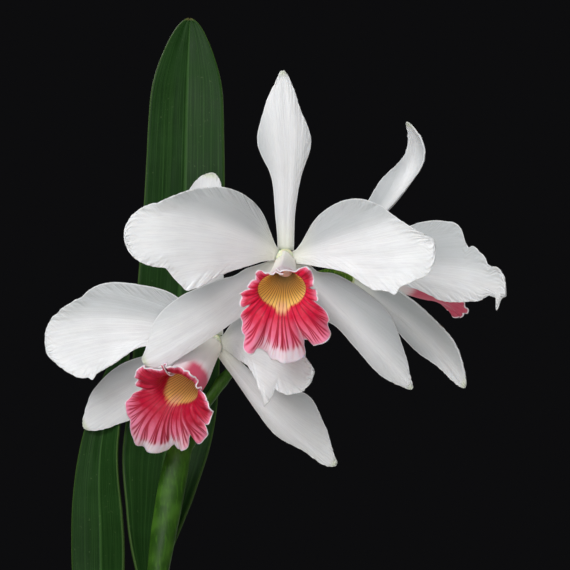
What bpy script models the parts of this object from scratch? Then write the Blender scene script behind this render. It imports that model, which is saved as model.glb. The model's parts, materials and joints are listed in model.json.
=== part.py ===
"""Cattleya orchid with three open blooms, grown upright in a terracotta pot of bark.

The pot stands on z = 0 with its axis on the world Z axis. The front bloom faces -Y. Lengths are in
metres; every bloom is modelled in its own axes, facing -Y with Z up, and hung on an empty.
"""
import math
import random

import bmesh
import bpy
import numpy as np
from mathutils import Vector

MM = 0.001
GAP = 0.3 * MM
FINE_STEPS = 120

# Pot
POT_HEIGHT = 115 * MM
POT_RIM_RADIUS = 69 * MM
POT_FOOT_RADIUS = 48 * MM
POT_WALL = 5.5 * MM
POT_FLOOR = 8 * MM
POT_BAND = 22 * MM
POT_BAND_STEP = 3 * MM
POT_BAND_TAPER = 1.2 * MM
POT_EDGE = 1.5 * MM
DRAIN_RADIUS = 6 * MM
DRAIN_CIRCLE = 27 * MM
DRAIN_HOLES = 4
POT_SIDES = 36

# Growing medium
BARK_TOP = 100 * MM
BARK_EDGE = 2 * MM
CHIP_COUNT = 30
CHIP_LENGTH = (13 * MM, 22 * MM)
CHIP_WIDTH = (7 * MM, 11 * MM)
CHIP_THICKNESS = (4 * MM, 6.5 * MM)
CHIP_SINK = (-0.5 * MM, 1.0 * MM)
CHIP_TILT = 0.3
CHIP_INSET = 12 * MM
CHIP_CLEARANCE = 13 * MM
CHIP_SEED = 5

# Rhizome, roots and pseudobulbs
RHIZOME_RADIUS = 6 * MM
RHIZOME_HEIGHT = 101 * MM
RHIZOME_STEPS = 15
ROOT_RADII = (1.9 * MM, 1.2 * MM)
ROOT_STEPS = 7
BULB_FOOT = RHIZOME_HEIGHT + RHIZOME_RADIUS + 2 * GAP
BULB_RIBS = 9
BULB_RIB_DEPTH = 0.07
BULB_STEPS = 10

# Thicknesses of the blades
LEAF_THICKNESS = 1.6 * MM
SEPAL_THICKNESS = 0.9 * MM
PETAL_THICKNESS = 0.8 * MM
LIP_THICKNESS = 0.7 * MM
SHEATH_THICKNESS = 0.8 * MM

# Where the parts of every bloom meet, in the bloom's own axes
COLLAR_RADIUS = 5.2 * MM
COLLAR_EDGE = 0.6 * MM
COLLAR_BACK = 1.6 * MM
COLLAR_FRONT = 2.0 * MM
COLLAR_FACE_RADIUS = 3.0 * MM
TEPAL_ROOT = COLLAR_RADIUS + GAP
SEPAL_BACK = 0.6 * MM
PETAL_FRONT = 1.2 * MM
LIP_START = 2.8 * MM
LIP_TUBE_SHARE = 0.4
LIP_LAP = 0.9 * MM
LIP_HOOD_START = 138
LIP_HOOD_FULL = 160
LIP_HOOD_LEAN = 0.15

# Shaft of the column: distance from the middle of the bloom and radius there, in millimetres
COLUMN_SHAFT = ((6, 3.0), (12, 3.2), (19, 3.8), (23, 4.0), (25.5, 2.6))

# Flower stalks: their radii in millimetres from the bloom, and the straight run behind the collar
PEDICEL_RADII = (3.6, 3.8, 3.2, 2.5, 2.2, 2.1, 1.9)
PEDICEL_STRAIGHT = 6 * MM

# Flower stem: its route in millimetres, a joint ring part way up and a knob under the front bloom
PEDUNCLE_ROUTE = (
    (-13, 9, 260.9), (-8, 13, 300), (0, 21, 345), (4, 25.5, 356), (11.5, 31, 371),
    (20, 36.5, 382), (28, 39.5, 393), (44, 42, 411), (58, 42.5, 436),
)
PEDUNCLE_RADIUS = 3.3 * MM
PEDUNCLE_STEPS = 28
JOINT_PLACE = 0.72
JOINT_RADIUS = 3.8 * MM
KNOB_PLACE = 0.925
KNOB_RADIUS = 4.4 * MM
PEDUNCLE_END_RADIUS = 3.2 * MM

# Sheath at the foot of the flower stem: half widths and half depths in millimetres from its foot up
SHEATH_START = 0.4 * MM
SHEATH_LENGTH = 112 * MM
SHEATH_WIDE = (4.8, 6.4, 7.6, 8.0, 7.2, 5.8)
SHEATH_DEEP = (4.8, 4.8, 5.0, 5.0, 4.9, 4.9)
SHEATH_WRAP = 162
SHEATH_SLANT = 7 * MM

# Routes of the rhizome, seen from above, and of the roots, in millimetres
RHIZOME_ROUTE = (
    (-46, -27), (-42, -18), (-36, -4), (-30, 9), (-19, 12), (-8, 10), (4, 8), (16, 5), (27, -3), (38, -11),
)
ROOT_ROUTES = (
    ((-8, 8, 101), (-10, -2, 102), (-4, -14, 102.5), (4, -26, 101), (8, -36, 97)),
    ((-30, 12, 101), (-34, 22, 102.5), (-30, 34, 101.5), (-22, 42, 97)),
    ((16, 8, 101), (20, 18, 102.5), (16, 30, 102), (8, 40, 97)),
    ((30, -6, 101), (28, -18, 102.5), (32, -30, 101), (34, -38, 97)),
    ((-38, -10, 101), (-28, -16, 102.5), (-20, -28, 101.5), (-18, -40, 97)),
)

# Pseudobulbs: where each stands, where it ends, and its radii in millimetres from foot to top
BULBS = {
    "pseudobulb_lead": dict(
        foot=(-8 * MM, 10 * MM), top=(-14 * MM, 13 * MM, 260 * MM),
        radii=(5.5, 7, 9.5, 11.5, 12, 11, 9, 8)
    ),
    "pseudobulb_second": dict(
        foot=(-30 * MM, 9 * MM), top=(-45 * MM, 24 * MM, 200 * MM),
        radii=(5, 7.5, 10.5, 12, 11.5, 9, 6.5, 5.5)
    ),
    "pseudobulb_old": dict(
        foot=(-42 * MM, -18 * MM), top=(-58 * MM, -34 * MM, 192 * MM),
        radii=(5, 7.5, 10.5, 12, 11, 8.5, 6, 5.5)
    ),
    "pseudobulb_side": dict(
        foot=(16 * MM, 5 * MM), top=(30 * MM, 17 * MM, 188 * MM),
        radii=(5, 7, 10, 11.5, 10.5, 8.5, 6, 5.5)
    ),
    "pseudobulb_young": dict(
        foot=(29.5 * MM, -5 * MM), top=(42 * MM, -16 * MM, 166 * MM),
        radii=(4.5, 6, 7.5, 8, 7.5, 6.5, 5.5, 5)
    ),
}

# Leaves: midrib routes and half widths in millimetres, from the pseudobulb to the tip
LEAVES = {
    "leaf_upright": dict(
        route=((-16, 18.5, 260.8), (-15.5, 30, 290), (-12.5, 47, 318), (-10, 57, 342), (-4, 62, 380),
               (-1.5, 66, 440), (1.7, 71, 500), (2.7, 78, 562), (4, 88, 620)),
        widths=(5, 17, 26, 27, 26, 25.5, 24.5, 22.5, 17), facing=((0, -1, 0.3), (0, -1, 0), (0, -1, -0.1)),
        fold=(0.55, 0.3, 0.22, 0.2, 0.15), along=18, share=0.15, wave=(0.8, 2),
    ),
    "leaf_second": dict(
        route=((-45, 24, 200.8), (-46.5, 34, 240), (-48, 44, 290), (-49.5, 51, 336), (-46, 54, 366),
               (-39, 58, 396), (-34, 62, 415)),
        widths=(4.6, 12, 18, 18, 14, 10, 6), facing=((-0.3, -1, 0.3), (-0.5, -1, 0), (-0.5, -1, -0.1)),
        fold=(0.6, 0.3, 0.25, 0.2, 0.2), along=14, wave=(0.6, 1.5),
    ),
    "leaf_low_left": dict(
        route=((-58, -34, 192.8), (-67, -40, 222), (-88, -50, 258), (-120, -62, 290), (-158, -74, 312),
               (-200, -86, 318)),
        widths=(4.6, 13, 19, 20.5, 18, 10), facing=((0.8, 0.5, 0.5), (0.6, 0, 0.9), (0.2, 0, 1)),
        fold=(0.6, 0.35, 0.25, 0.2, 0.15), along=14, wave=(0.8, 2),
    ),
    "leaf_low_right": dict(
        route=((30, 17, 188.8), (38, 23, 212), (62, 38, 244), (102, 56, 262), (148, 70, 254),
               (186, 80, 228)),
        widths=(4.6, 13, 19.5, 21, 17, 9), facing=((-0.7, -0.4, 0.6), (-0.1, 0, 1), (0.2, 0, 1)),
        fold=(0.6, 0.35, 0.25, 0.2, 0.15), along=14, wave=(0.8, 2),
    ),
    "leaf_young": dict(
        route=((42, -16, 166.8), (48, -22, 190), (62, -34, 214), (84, -50, 230), (108, -66, 230)),
        widths=(4.2, 9, 12.5, 12, 6), facing=((-0.6, 0.5, 0.6), (-0.2, 0.2, 1), (0.1, 0, 1)),
        fold=(0.7, 0.45, 0.3, 0.25), along=11,
    ),
}

# Blooms: places and routes in millimetres in the plant's axes, and the blades' and lips' own shapes
PETAL = dict(front=PETAL_FRONT, tip=0.22, least=2.2, cup=(0, 0.1, 0.05), wave=(1.1, 2.5), along=12, across=6)
SEPAL = dict(front=-SEPAL_BACK, tip=0.16, least=1.4, cup=(-0.25, -0.2, -0.1), keel=0.5, along=12, across=4)

BLOOMS = {
    "front": dict(
        place=(65, -35, 465.5), yaw=0, pitch=0,
        pedicel=((65, -14, 465.8), (64.6, 8, 462), (62.5, 27, 453), (57.1, 42.4, 438.3)),
        tepals={
            "dorsal_sepal": dict(SEPAL, azimuth=1, bend=-10, length=101, sweep=(4, 10, -8),
                                 left=(4.5, 7, 9.5, 17, 12, 4), right=(4.5, 4.2, 7.2, 13.3, 7.5, 4)),
            "lateral_sepal_l": dict(SEPAL, azimuth=-129, bend=19, length=98, sweep=(-6, -8, -14),
                                    left=(4.5, 8.5, 8, 8, 8.5, 10), right=(4.5, 13, 18, 21.5, 18, 5)),
            "lateral_sepal_r": dict(SEPAL, azimuth=135, bend=4, length=101.3, sweep=(-6, -8, -14),
                                    left=(4.5, 13, 18.5, 19.5, 11.5, 3), right=(4.5, 18, 8, 8, 8.5, 4)),
            "petal_l": dict(PETAL, azimuth=-78.5, bend=-27, length=92.5, sweep=(34, 26, 8),
                            left=(3.5, 12, 20.5, 29, 18, 19), right=(3.5, 22, 29, 26.5, 19, 18)),
            "petal_r": dict(PETAL, azimuth=85.5, bend=-6, length=85, sweep=(34, 26, 8), tip=0.32,
                            left=(3.5, 21.5, 29, 28, 16, 7), right=(3.5, 6.5, 11, 23, 22.5, 30)),
        },
        lip=dict(droop=22, yaw=-3,
                 skirt=(5, 5, 5, 7, 5, 6, 9, 11, 16, 21, 32, 31, 34, 34, 29, 29, 20, 9, 7, 6, 8, 10, 6,
                        5, 5)),
    ),
    "left": dict(
        place=(23.4, 15, 415.5), yaw=-30, pitch=-6,
        pedicel=((30.5, 27.5, 417), (35, 36, 415), (37.2, 40.9, 409.7)),
        tepals={
            "dorsal_sepal": dict(SEPAL, azimuth=4, bend=8, length=97, sweep=(4, 10, -8),
                                 left=(4.5, 8, 12, 16, 17, 14), right=(4.5, 6, 7.5, 9, 9, 7)),
            "lateral_sepal_l": dict(SEPAL, azimuth=-120, length=100, sweep=(4, 12, 8),
                                    left=(4.5, 9, 12.5, 13.5, 9.5, 7), right=(4.5, 10, 17, 21, 17.5, 8.5)),
            "lateral_sepal_r": dict(SEPAL, azimuth=140, bend=-21, length=97.5, sweep=(-6, -8, -14),
                                    left=(4.5, 7, 13, 23, 16, 4), right=(4.5, 5, 8, 11, 6, 7)),
            "petal_l": dict(PETAL, azimuth=-84, bend=-34, length=99, sweep=(34, 28, 14),
                            left=(3.5, 7.5, 7, 17, 22, 15), right=(3.5, 24, 30.5, 32, 23, 22)),
            "petal_r": dict(PETAL, azimuth=92, bend=21, length=92.5, sweep=(30, 26, 16),
                            left=(3.5, 14, 19, 19, 17, 5), right=(3.5, 9, 12.5, 28, 18, 22)),
        },
        lip=dict(droop=26, yaw=-1, hood=0.2, radii=(5.2, 7.6, 10.2, 10.8),
                 skirt=(10, 8, 14, 16, 16, 15, 18, 28, 34, 43, 40, 36, 31, 28, 24, 17, 13, 8, 4, 3, 5, 8,
                        8, 12, 10)),
    ),
    "right": dict(
        place=(106.5, 35, 455), yaw=112, pitch=2,
        pedicel=((93, 29, 456.8), (79, 28, 453), (67, 35.5, 444.5), (60.9, 42.6, 436.1)),
        tepals={
            "dorsal_sepal": dict(SEPAL, azimuth=-2.5, bend=-12, length=104, sweep=(14, 46, 26, -34),
                                 cup=(-0.25, -0.27, -0.21, -0.08),
                                 left=(4.5, 11, 15.5, 16, 17, 12), right=(4.5, 11, 19.5, 24, 9, 4)),
            "lateral_sepal_l": dict(SEPAL, azimuth=-128.5, bend=-14, length=101, sweep=(26, 22, 12),
                                    left=(4.5, 6.5, 8.5, 10, 6, 5), right=(4.5, 13.5, 18, 19, 18, 10)),
            "lateral_sepal_r": dict(SEPAL, azimuth=106, length=92, sweep=(32, 30, 20),
                                    left=(4.5, 9, 13, 14, 11, 5), right=(4.5, 9, 12, 12, 10, 5)),
            "petal_l": dict(PETAL, azimuth=-93, bend=-34, length=97.5, sweep=(42, 40, 28),
                            left=(3.5, 4.5, 10, 15, 11, 5), right=(3.5, 20, 30.5, 31.5, 17.5, 20)),
            "petal_r": dict(PETAL, azimuth=78, bend=10, length=93, sweep=(34, 30, 20),
                            left=(3.5, 18, 26, 27, 20, 15), right=(3.5, 12, 18, 20, 17, 14)),
        },
        lip=dict(droop=6, tube=50, flare=38, snap=1.3,
                 skirt=(6, 6, 7, 8, 8, 8, 9, 12, 16, 20, 23, 25, 25, 25, 23, 20, 16, 12, 9, 8, 8, 8, 7,
                        6, 6)),
    ),
}


def clear_scene():
    for old in list(bpy.data.objects):
        bpy.data.objects.remove(old, do_unlink=True)


def new_collection(name):
    made = bpy.data.collections.new(name)
    bpy.context.scene.collection.children.link(made)
    return made


def new_material(name, colour, roughness):
    made = bpy.data.materials.new(name)
    made.use_nodes = True
    shader = made.node_tree.nodes["Principled BSDF"]
    shader.inputs["Base Color"].default_value = (*colour, 1.0)
    shader.inputs["Roughness"].default_value = roughness
    shader.inputs["Metallic"].default_value = 0.0
    return made


def place(obj, collection, material=None, parent=None):
    collection.objects.link(obj)
    if material:
        obj.data.materials.append(material)
    if parent:
        obj.parent = parent
    return obj


def shade(mesh, angle=40):
    mesh.shade_smooth()
    mesh.set_sharp_from_angle(angle=math.radians(angle))


def smooth_steps(values, t):
    """Smooth curve through values that stand at equal steps of t, from 0 to 1."""
    values = np.asarray(values, float)
    last = len(values) - 1
    x = np.clip(np.asarray(t, float), 0, 1) * last
    i = np.minimum(x.astype(int), last - 1)
    f = (x - i).reshape(x.shape + (1,) * (values.ndim - 1))
    before = values[np.maximum(i - 1, 0)]
    here = values[i]
    ahead = values[i + 1]
    after = values[np.minimum(i + 2, last)]
    linear = ahead - before
    square = 2 * before - 5 * here + 4 * ahead - after
    cube = 3 * here - before - 3 * ahead + after
    return here + 0.5 * (linear * f + square * f**2 + cube * f**3)


def smooth_route(route, count):
    """Points at even spacing along a smooth curve through a route given in millimetres."""
    fine = smooth_steps(np.array(route, float) * MM, np.linspace(0, 1, 40 * len(route)))
    steps = np.linalg.norm(np.diff(fine, axis=0), axis=1)
    along = np.concatenate([[0], np.cumsum(steps)])
    wanted = np.linspace(0, along[-1], count)
    return np.stack([np.interp(wanted, along, fine[:, k]) for k in range(3)], axis=-1)


def lengthened(points, extra):
    """Route whose two ends are moved out by extra along its end segments."""
    ends = [points[0] - points[1], points[-1] - points[-2]]
    out = [extra * end / np.linalg.norm(end) for end in ends]
    return np.vstack([points[:1] + out[0], points[1:-1], points[-1:] + out[1]])


def rounded_tip(t, share):
    """1 along a blade, falling along a quarter of an ellipse over the last share of its length."""
    past = np.clip((t - 1 + share) / share, 0, 1)
    return np.sqrt(np.maximum(1 - past**2, 0))


def sheet_object(name, points, thickness, collection, material, parent=None):
    """Thin solid on a grid of points: rows run along the blade, columns across it."""
    rows, columns = points.shape[:2]
    bm = bmesh.new()
    bmesh.ops.create_grid(bm, x_segments=columns - 1, y_segments=rows - 1, size=0.5)
    bm.verts.ensure_lookup_table()
    order = sorted(bm.verts, key=lambda v: (round(v.co.y, 4), round(v.co.x, 4)))
    for vert, point in zip(order, points.reshape(-1, 3)):
        vert.co = point
    bmesh.ops.triangulate(bm, faces=bm.faces[:], quad_method="SHORT_EDGE")
    mesh = bpy.data.meshes.new(name)
    bm.to_mesh(mesh)
    bm.free()
    mesh.shade_smooth()
    obj = place(bpy.data.objects.new(name, mesh), collection, material, parent)
    solid = obj.modifiers.new("Thickness", "SOLIDIFY")
    solid.thickness = thickness
    solid.offset = 0
    solid.use_even_offset = False
    return obj


def tube_object(name, points, radii, collection, material=None, parent=None, sides=8):
    """Bevelled curve through points, with one radius for each point and closed ends."""
    curve = bpy.data.curves.new(name, "CURVE")
    curve.dimensions = "3D"
    curve.bevel_depth = 1.0
    curve.bevel_resolution = (sides - 4) // 2
    curve.use_fill_caps = True
    spline = curve.splines.new("POLY")
    spline.points.add(len(points) - 1)
    for spot, point, radius in zip(spline.points, points, radii):
        spot.co = (*point, 1.0)
        spot.radius = radius
    spline.use_smooth = True
    return place(bpy.data.objects.new(name, curve), collection, material, parent)


def as_mesh(obj, collection, material=None):
    """Mesh object in place of a curve or a modified object, with its caps welded."""
    bpy.context.view_layer.update()
    seen = obj.evaluated_get(bpy.context.evaluated_depsgraph_get())
    mesh = bpy.data.meshes.new_from_object(seen)
    bm = bmesh.new()
    bm.from_mesh(mesh)
    bmesh.ops.remove_doubles(bm, verts=bm.verts, dist=0.01 * MM)
    bmesh.ops.recalc_face_normals(bm, faces=bm.faces)
    bm.to_mesh(mesh)
    bm.free()
    name = obj.name
    matrix = obj.matrix_world.copy()
    bpy.data.objects.remove(obj, do_unlink=True)
    mesh.materials.clear()
    made = place(bpy.data.objects.new(name, mesh), collection, material)
    made.matrix_world = matrix
    return made


def fill_cavities(mesh):
    """Remove closed shells that face inwards, which are hollows sealed inside the solid."""
    bm = bmesh.new()
    bm.from_mesh(mesh)
    unseen = set(bm.verts)
    sealed = []
    while unseen:
        island = set()
        front = [next(iter(unseen))]
        while front:
            vert = front.pop()
            if vert in island:
                continue
            island.add(vert)
            front.extend(edge.other_vert(vert) for edge in vert.link_edges)
        unseen -= island
        faces = {face for vert in island for face in vert.link_faces}
        volume = sum(face.calc_center_median().dot(face.normal) * face.calc_area() for face in faces) / 3
        if volume < 0:
            sealed.extend(island)
    bmesh.ops.delete(bm, geom=sealed, context="VERTS")
    bm.to_mesh(mesh)
    bm.free()


def combine(obj, operation, others):
    """Apply one Boolean of a whole collection to an object, then empty that collection."""
    step = obj.modifiers.new(operation.title(), "BOOLEAN")
    step.operation = operation
    step.operand_type = "COLLECTION"
    step.collection = others
    step.solver = "EXACT"
    bpy.context.view_layer.update()
    seen = obj.evaluated_get(bpy.context.evaluated_depsgraph_get())
    mesh = bpy.data.meshes.new_from_object(seen)
    fill_cavities(mesh)
    mesh.materials.clear()
    mesh.materials.append(obj.data.materials[0])
    obj.modifiers.remove(step)
    obj.data = mesh
    for used in list(others.objects):
        bpy.data.objects.remove(used, do_unlink=True)


def turned_object(name, profile, sides, collection, material=None):
    """Profile of (radius, height) pairs, turned once about Z."""
    mesh = bpy.data.meshes.new(name)
    points = [(radius, 0.0, height) for radius, height in profile]
    edges = [(i, i + 1) for i in range(len(points) - 1)]
    mesh.from_pydata(points, edges, [])
    obj = place(bpy.data.objects.new(name, mesh), collection, material)
    screw = obj.modifiers.new("Turn", "SCREW")
    screw.axis = "Z"
    screw.steps = sides
    screw.render_steps = sides
    screw.use_merge_vertices = True
    screw.merge_threshold = 0.05 * MM
    screw.use_smooth_shade = False
    return obj


def cylinder_cutter(name, radius, bottom, top, spot, collection):
    mesh = bpy.data.meshes.new(name)
    bm = bmesh.new()
    bmesh.ops.create_cone(
        bm, cap_ends=True, segments=20, radius1=radius, radius2=radius, depth=top - bottom
    )
    bm.to_mesh(mesh)
    bm.free()
    obj = place(bpy.data.objects.new(name, mesh), collection)
    obj.location = (spot[0], spot[1], (top + bottom) / 2)
    obj.hide_render = True
    obj.display_type = "WIRE"
    return obj


def pot_radius(height):
    """Outer radius of the pot's plain wall at a height."""
    share = height / POT_HEIGHT
    return POT_FOOT_RADIUS + (POT_RIM_RADIUS - POT_BAND_STEP - POT_FOOT_RADIUS) * share


def make_pot(parts, cutters, material):
    band = POT_HEIGHT - POT_BAND
    edge = POT_EDGE
    inner = POT_RIM_RADIUS - POT_BAND_STEP - POT_WALL
    profile = [
        (0.0, POT_FLOOR),
        (pot_radius(POT_FLOOR) - POT_WALL, POT_FLOOR),
        (inner, POT_HEIGHT - edge),
        (inner + edge, POT_HEIGHT),
        (POT_RIM_RADIUS - edge, POT_HEIGHT),
        (POT_RIM_RADIUS, POT_HEIGHT - edge),
        (POT_RIM_RADIUS - POT_BAND_TAPER, band + edge),
        (POT_RIM_RADIUS - 2 * POT_BAND_TAPER, band),
        (pot_radius(band), band),
        (pot_radius(edge), edge),
        (POT_FOOT_RADIUS - edge, 0.0),
        (0.0, 0.0),
    ]
    pot = turned_object("pot", profile, POT_SIDES, parts, material)
    pot = as_mesh(pot, parts, material)
    for i in range(DRAIN_HOLES):
        angle = math.tau * (i + 0.5) / DRAIN_HOLES
        spot = (DRAIN_CIRCLE * math.cos(angle), DRAIN_CIRCLE * math.sin(angle))
        cylinder_cutter(f"drain_{i}", DRAIN_RADIUS, -POT_FLOOR, 2 * POT_FLOOR, spot, cutters)
    combine(pot, "DIFFERENCE", cutters)
    shade(pot.data, 35)


def rhizome_tubes(prefix, extra, collection, material=None):
    """Rhizome tube, then the root tubes, all wider than the real ones by extra."""
    route = [(x, y, RHIZOME_HEIGHT / MM) for x, y in RHIZOME_ROUTE]
    points = lengthened(smooth_route(route, RHIZOME_STEPS), extra)
    from_foot = np.arange(RHIZOME_STEPS)
    from_end = np.minimum(from_foot, from_foot[::-1])
    swell = 1 + 0.05 * np.sin(1.7 * from_foot)
    radii = RHIZOME_RADIUS * swell * np.minimum(1, 0.6 + 0.4 * from_end) + extra
    tubes = [as_mesh(tube_object(prefix, points, radii, collection, sides=10), collection, material)]
    for i, root in enumerate(ROOT_ROUTES):
        path = lengthened(smooth_route(root, ROOT_STEPS), extra)
        width = np.linspace(*ROOT_RADII, ROOT_STEPS) + extra
        tubes.append(as_mesh(tube_object(f"{prefix}_{i}", path, width, collection, sides=6), collection))
    return tubes


def make_medium(parts, cutters, material):
    """Bark that fills the pot, with chips standing out of its top and beds for the rhizome and roots."""
    inset = POT_WALL + GAP
    bottom = POT_FLOOR + GAP
    profile = [
        (0.0, BARK_TOP),
        (pot_radius(BARK_TOP) - inset - BARK_EDGE, BARK_TOP),
        (pot_radius(BARK_TOP - BARK_EDGE) - inset, BARK_TOP - BARK_EDGE),
        (pot_radius(bottom) - inset, bottom),
        (0.0, bottom),
    ]
    medium = turned_object("bark_medium", profile, POT_SIDES, parts, material)
    medium = as_mesh(medium, parts, material)
    rng = random.Random(CHIP_SEED)
    reach = pot_radius(BARK_TOP) - inset - CHIP_INSET
    made = 0
    while made < CHIP_COUNT:
        x = rng.uniform(-reach, reach)
        y = rng.uniform(-reach, reach)
        size = (rng.uniform(*CHIP_LENGTH), rng.uniform(*CHIP_WIDTH), rng.uniform(*CHIP_THICKNESS))
        height = BARK_TOP + rng.uniform(*CHIP_SINK)
        tilt = [rng.uniform(-CHIP_TILT, CHIP_TILT) for _ in range(2)]
        turn = rng.uniform(0, math.pi)
        if math.hypot(x, y) > reach:
            continue
        if min(math.dist((x, y), bulb["foot"]) for bulb in BULBS.values()) < CHIP_CLEARANCE:
            continue
        mesh = bpy.data.meshes.new(f"chip_{made}")
        bm = bmesh.new()
        bmesh.ops.create_cube(bm, size=1.0)
        bmesh.ops.scale(bm, vec=size, verts=bm.verts)
        bm.to_mesh(mesh)
        bm.free()
        chip = place(bpy.data.objects.new(f"chip_{made}", mesh), cutters)
        chip.location = (x, y, height)
        chip.rotation_euler = (*tilt, turn)
        made += 1
    combine(medium, "UNION", cutters)
    rhizome_tubes("bed", GAP, cutters)
    combine(medium, "DIFFERENCE", cutters)


def make_rhizome(parts, cutters, material):
    body = rhizome_tubes("rhizome_roots", 0.0, cutters, material)[0]
    cutters.objects.unlink(body)
    parts.objects.link(body)
    combine(body, "UNION", cutters)
    shade(body.data, 60)


def make_bulb(name, spec, guides, parts, material):
    """Furrowed spindle: a lobed outline swept from the rhizome to the foot of the leaf."""
    outline = bpy.data.curves.new(name + "_outline", "CURVE")
    outline.dimensions = "2D"
    ring = outline.splines.new("POLY")
    sides = 2 * BULB_RIBS
    ring.points.add(sides - 1)
    for i, spot in enumerate(ring.points):
        angle = math.tau * i / sides
        reach = 1 + BULB_RIB_DEPTH * (0.5 if i % 2 else -0.5)
        spot.co = (reach * math.cos(angle), reach * math.sin(angle), 0, 1)
    ring.use_cyclic_u = True
    guide = place(bpy.data.objects.new(name + "_outline", outline), guides)
    guide.hide_render = True
    guide.display_type = "WIRE"
    foot = np.array([*spec["foot"], BULB_FOOT])
    top = np.array(spec["top"])
    share = np.linspace(0, 1, BULB_STEPS)
    drift = share**2 * (3 - 2 * share)
    points = foot + (top - foot) * np.stack([drift, drift, share], axis=-1)
    radii = smooth_steps(np.array(spec["radii"]) * MM, share)
    obj = tube_object(name, points, radii, parts, material)
    obj.data.bevel_mode = "OBJECT"
    obj.data.bevel_object = guide
    bulb = as_mesh(obj, parts, material)
    bpy.data.objects.remove(guide, do_unlink=True)
    shade(bulb.data, 50)


def ribbon(route, widths, facing, fold, along, across=4, share=0.12, least=1.5, wave=(0, 0)):
    """Grid of a strap leaf: a route for its midrib, half widths along it and the way its face looks."""
    mid = smooth_route(route, along + 1)
    t = np.linspace(0, 1, along + 1)
    head = np.gradient(mid, axis=0)
    head /= np.linalg.norm(head, axis=1)[:, None]
    look = smooth_steps(np.array(facing, float), t)
    cross = np.cross(look, head)
    cross /= np.linalg.norm(cross, axis=1)[:, None]
    face = np.cross(head, cross)
    half = np.maximum(smooth_steps(np.array(widths) * MM, t) * rounded_tip(t, share), least * MM)
    s = np.linspace(-1, 1, across + 1)
    rise = smooth_steps(np.array(fold, float), t)[:, None] * half[:, None] * np.abs(s) ** 1.4
    ripple = wave[0] * MM * np.sin(math.tau * wave[1] * t[:, None] + (s > 0) * 1.8) * s**2
    place_across = cross[:, None] * (half[:, None] * s)[..., None]
    return mid[:, None] + place_across + face[:, None] * (rise + ripple)[..., None]


def make_leaves(parts, material):
    for name, spec in LEAVES.items():
        sheet_object(name, ribbon(**spec), LEAF_THICKNESS, parts, material)


def make_sheath(parts, material):
    """Flattened green sheath that wraps the foot of the flower stem, open along its left edge."""
    route = smooth_route(PEDUNCLE_ROUTE, 41)
    length = np.linalg.norm(np.diff(route, axis=0), axis=1)
    along = np.concatenate([[0], np.cumsum(length)])
    t = np.linspace(0, 1, 10)
    share = SHEATH_START + (SHEATH_LENGTH - SHEATH_START) * t
    mid = np.stack([np.interp(share, along, route[:, k]) for k in range(3)], axis=-1)
    head = np.gradient(mid, axis=0)
    head /= np.linalg.norm(head, axis=1)[:, None]
    side = np.cross([0.0, 1.0, 0.0], head)
    side /= np.linalg.norm(side, axis=1)[:, None]
    back = np.cross(head, side)
    wide = smooth_steps(np.array(SHEATH_WIDE) * MM, t)
    deep = smooth_steps(np.array(SHEATH_DEEP) * MM, t)
    angle = np.radians(np.linspace(-SHEATH_WRAP, SHEATH_WRAP, 13))
    across = side[:, None] * (wide[:, None] * np.cos(angle))[..., None]
    through = back[:, None] * (deep[:, None] * np.sin(angle))[..., None]
    slant = head[:, None] * (SHEATH_SLANT * (t**6)[:, None] * np.cos(angle))[..., None]
    sheet_object("flower_sheath", mid[:, None] + across + through + slant, SHEATH_THICKNESS, parts, material)


def make_peduncle(parts, material):
    points = smooth_route(PEDUNCLE_ROUTE, PEDUNCLE_STEPS)
    share = np.linspace(0, 1, PEDUNCLE_STEPS)
    joint = (JOINT_RADIUS - PEDUNCLE_RADIUS) * np.exp(-(((share - JOINT_PLACE) / 0.027) ** 2))
    knob = (KNOB_RADIUS - PEDUNCLE_RADIUS) * np.exp(-(((share - KNOB_PLACE) / 0.04) ** 2))
    radii = PEDUNCLE_RADIUS + joint + knob
    radii[-1] = PEDUNCLE_END_RADIUS
    tube_object("peduncle", points, radii, parts, material, sides=8)


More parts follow.
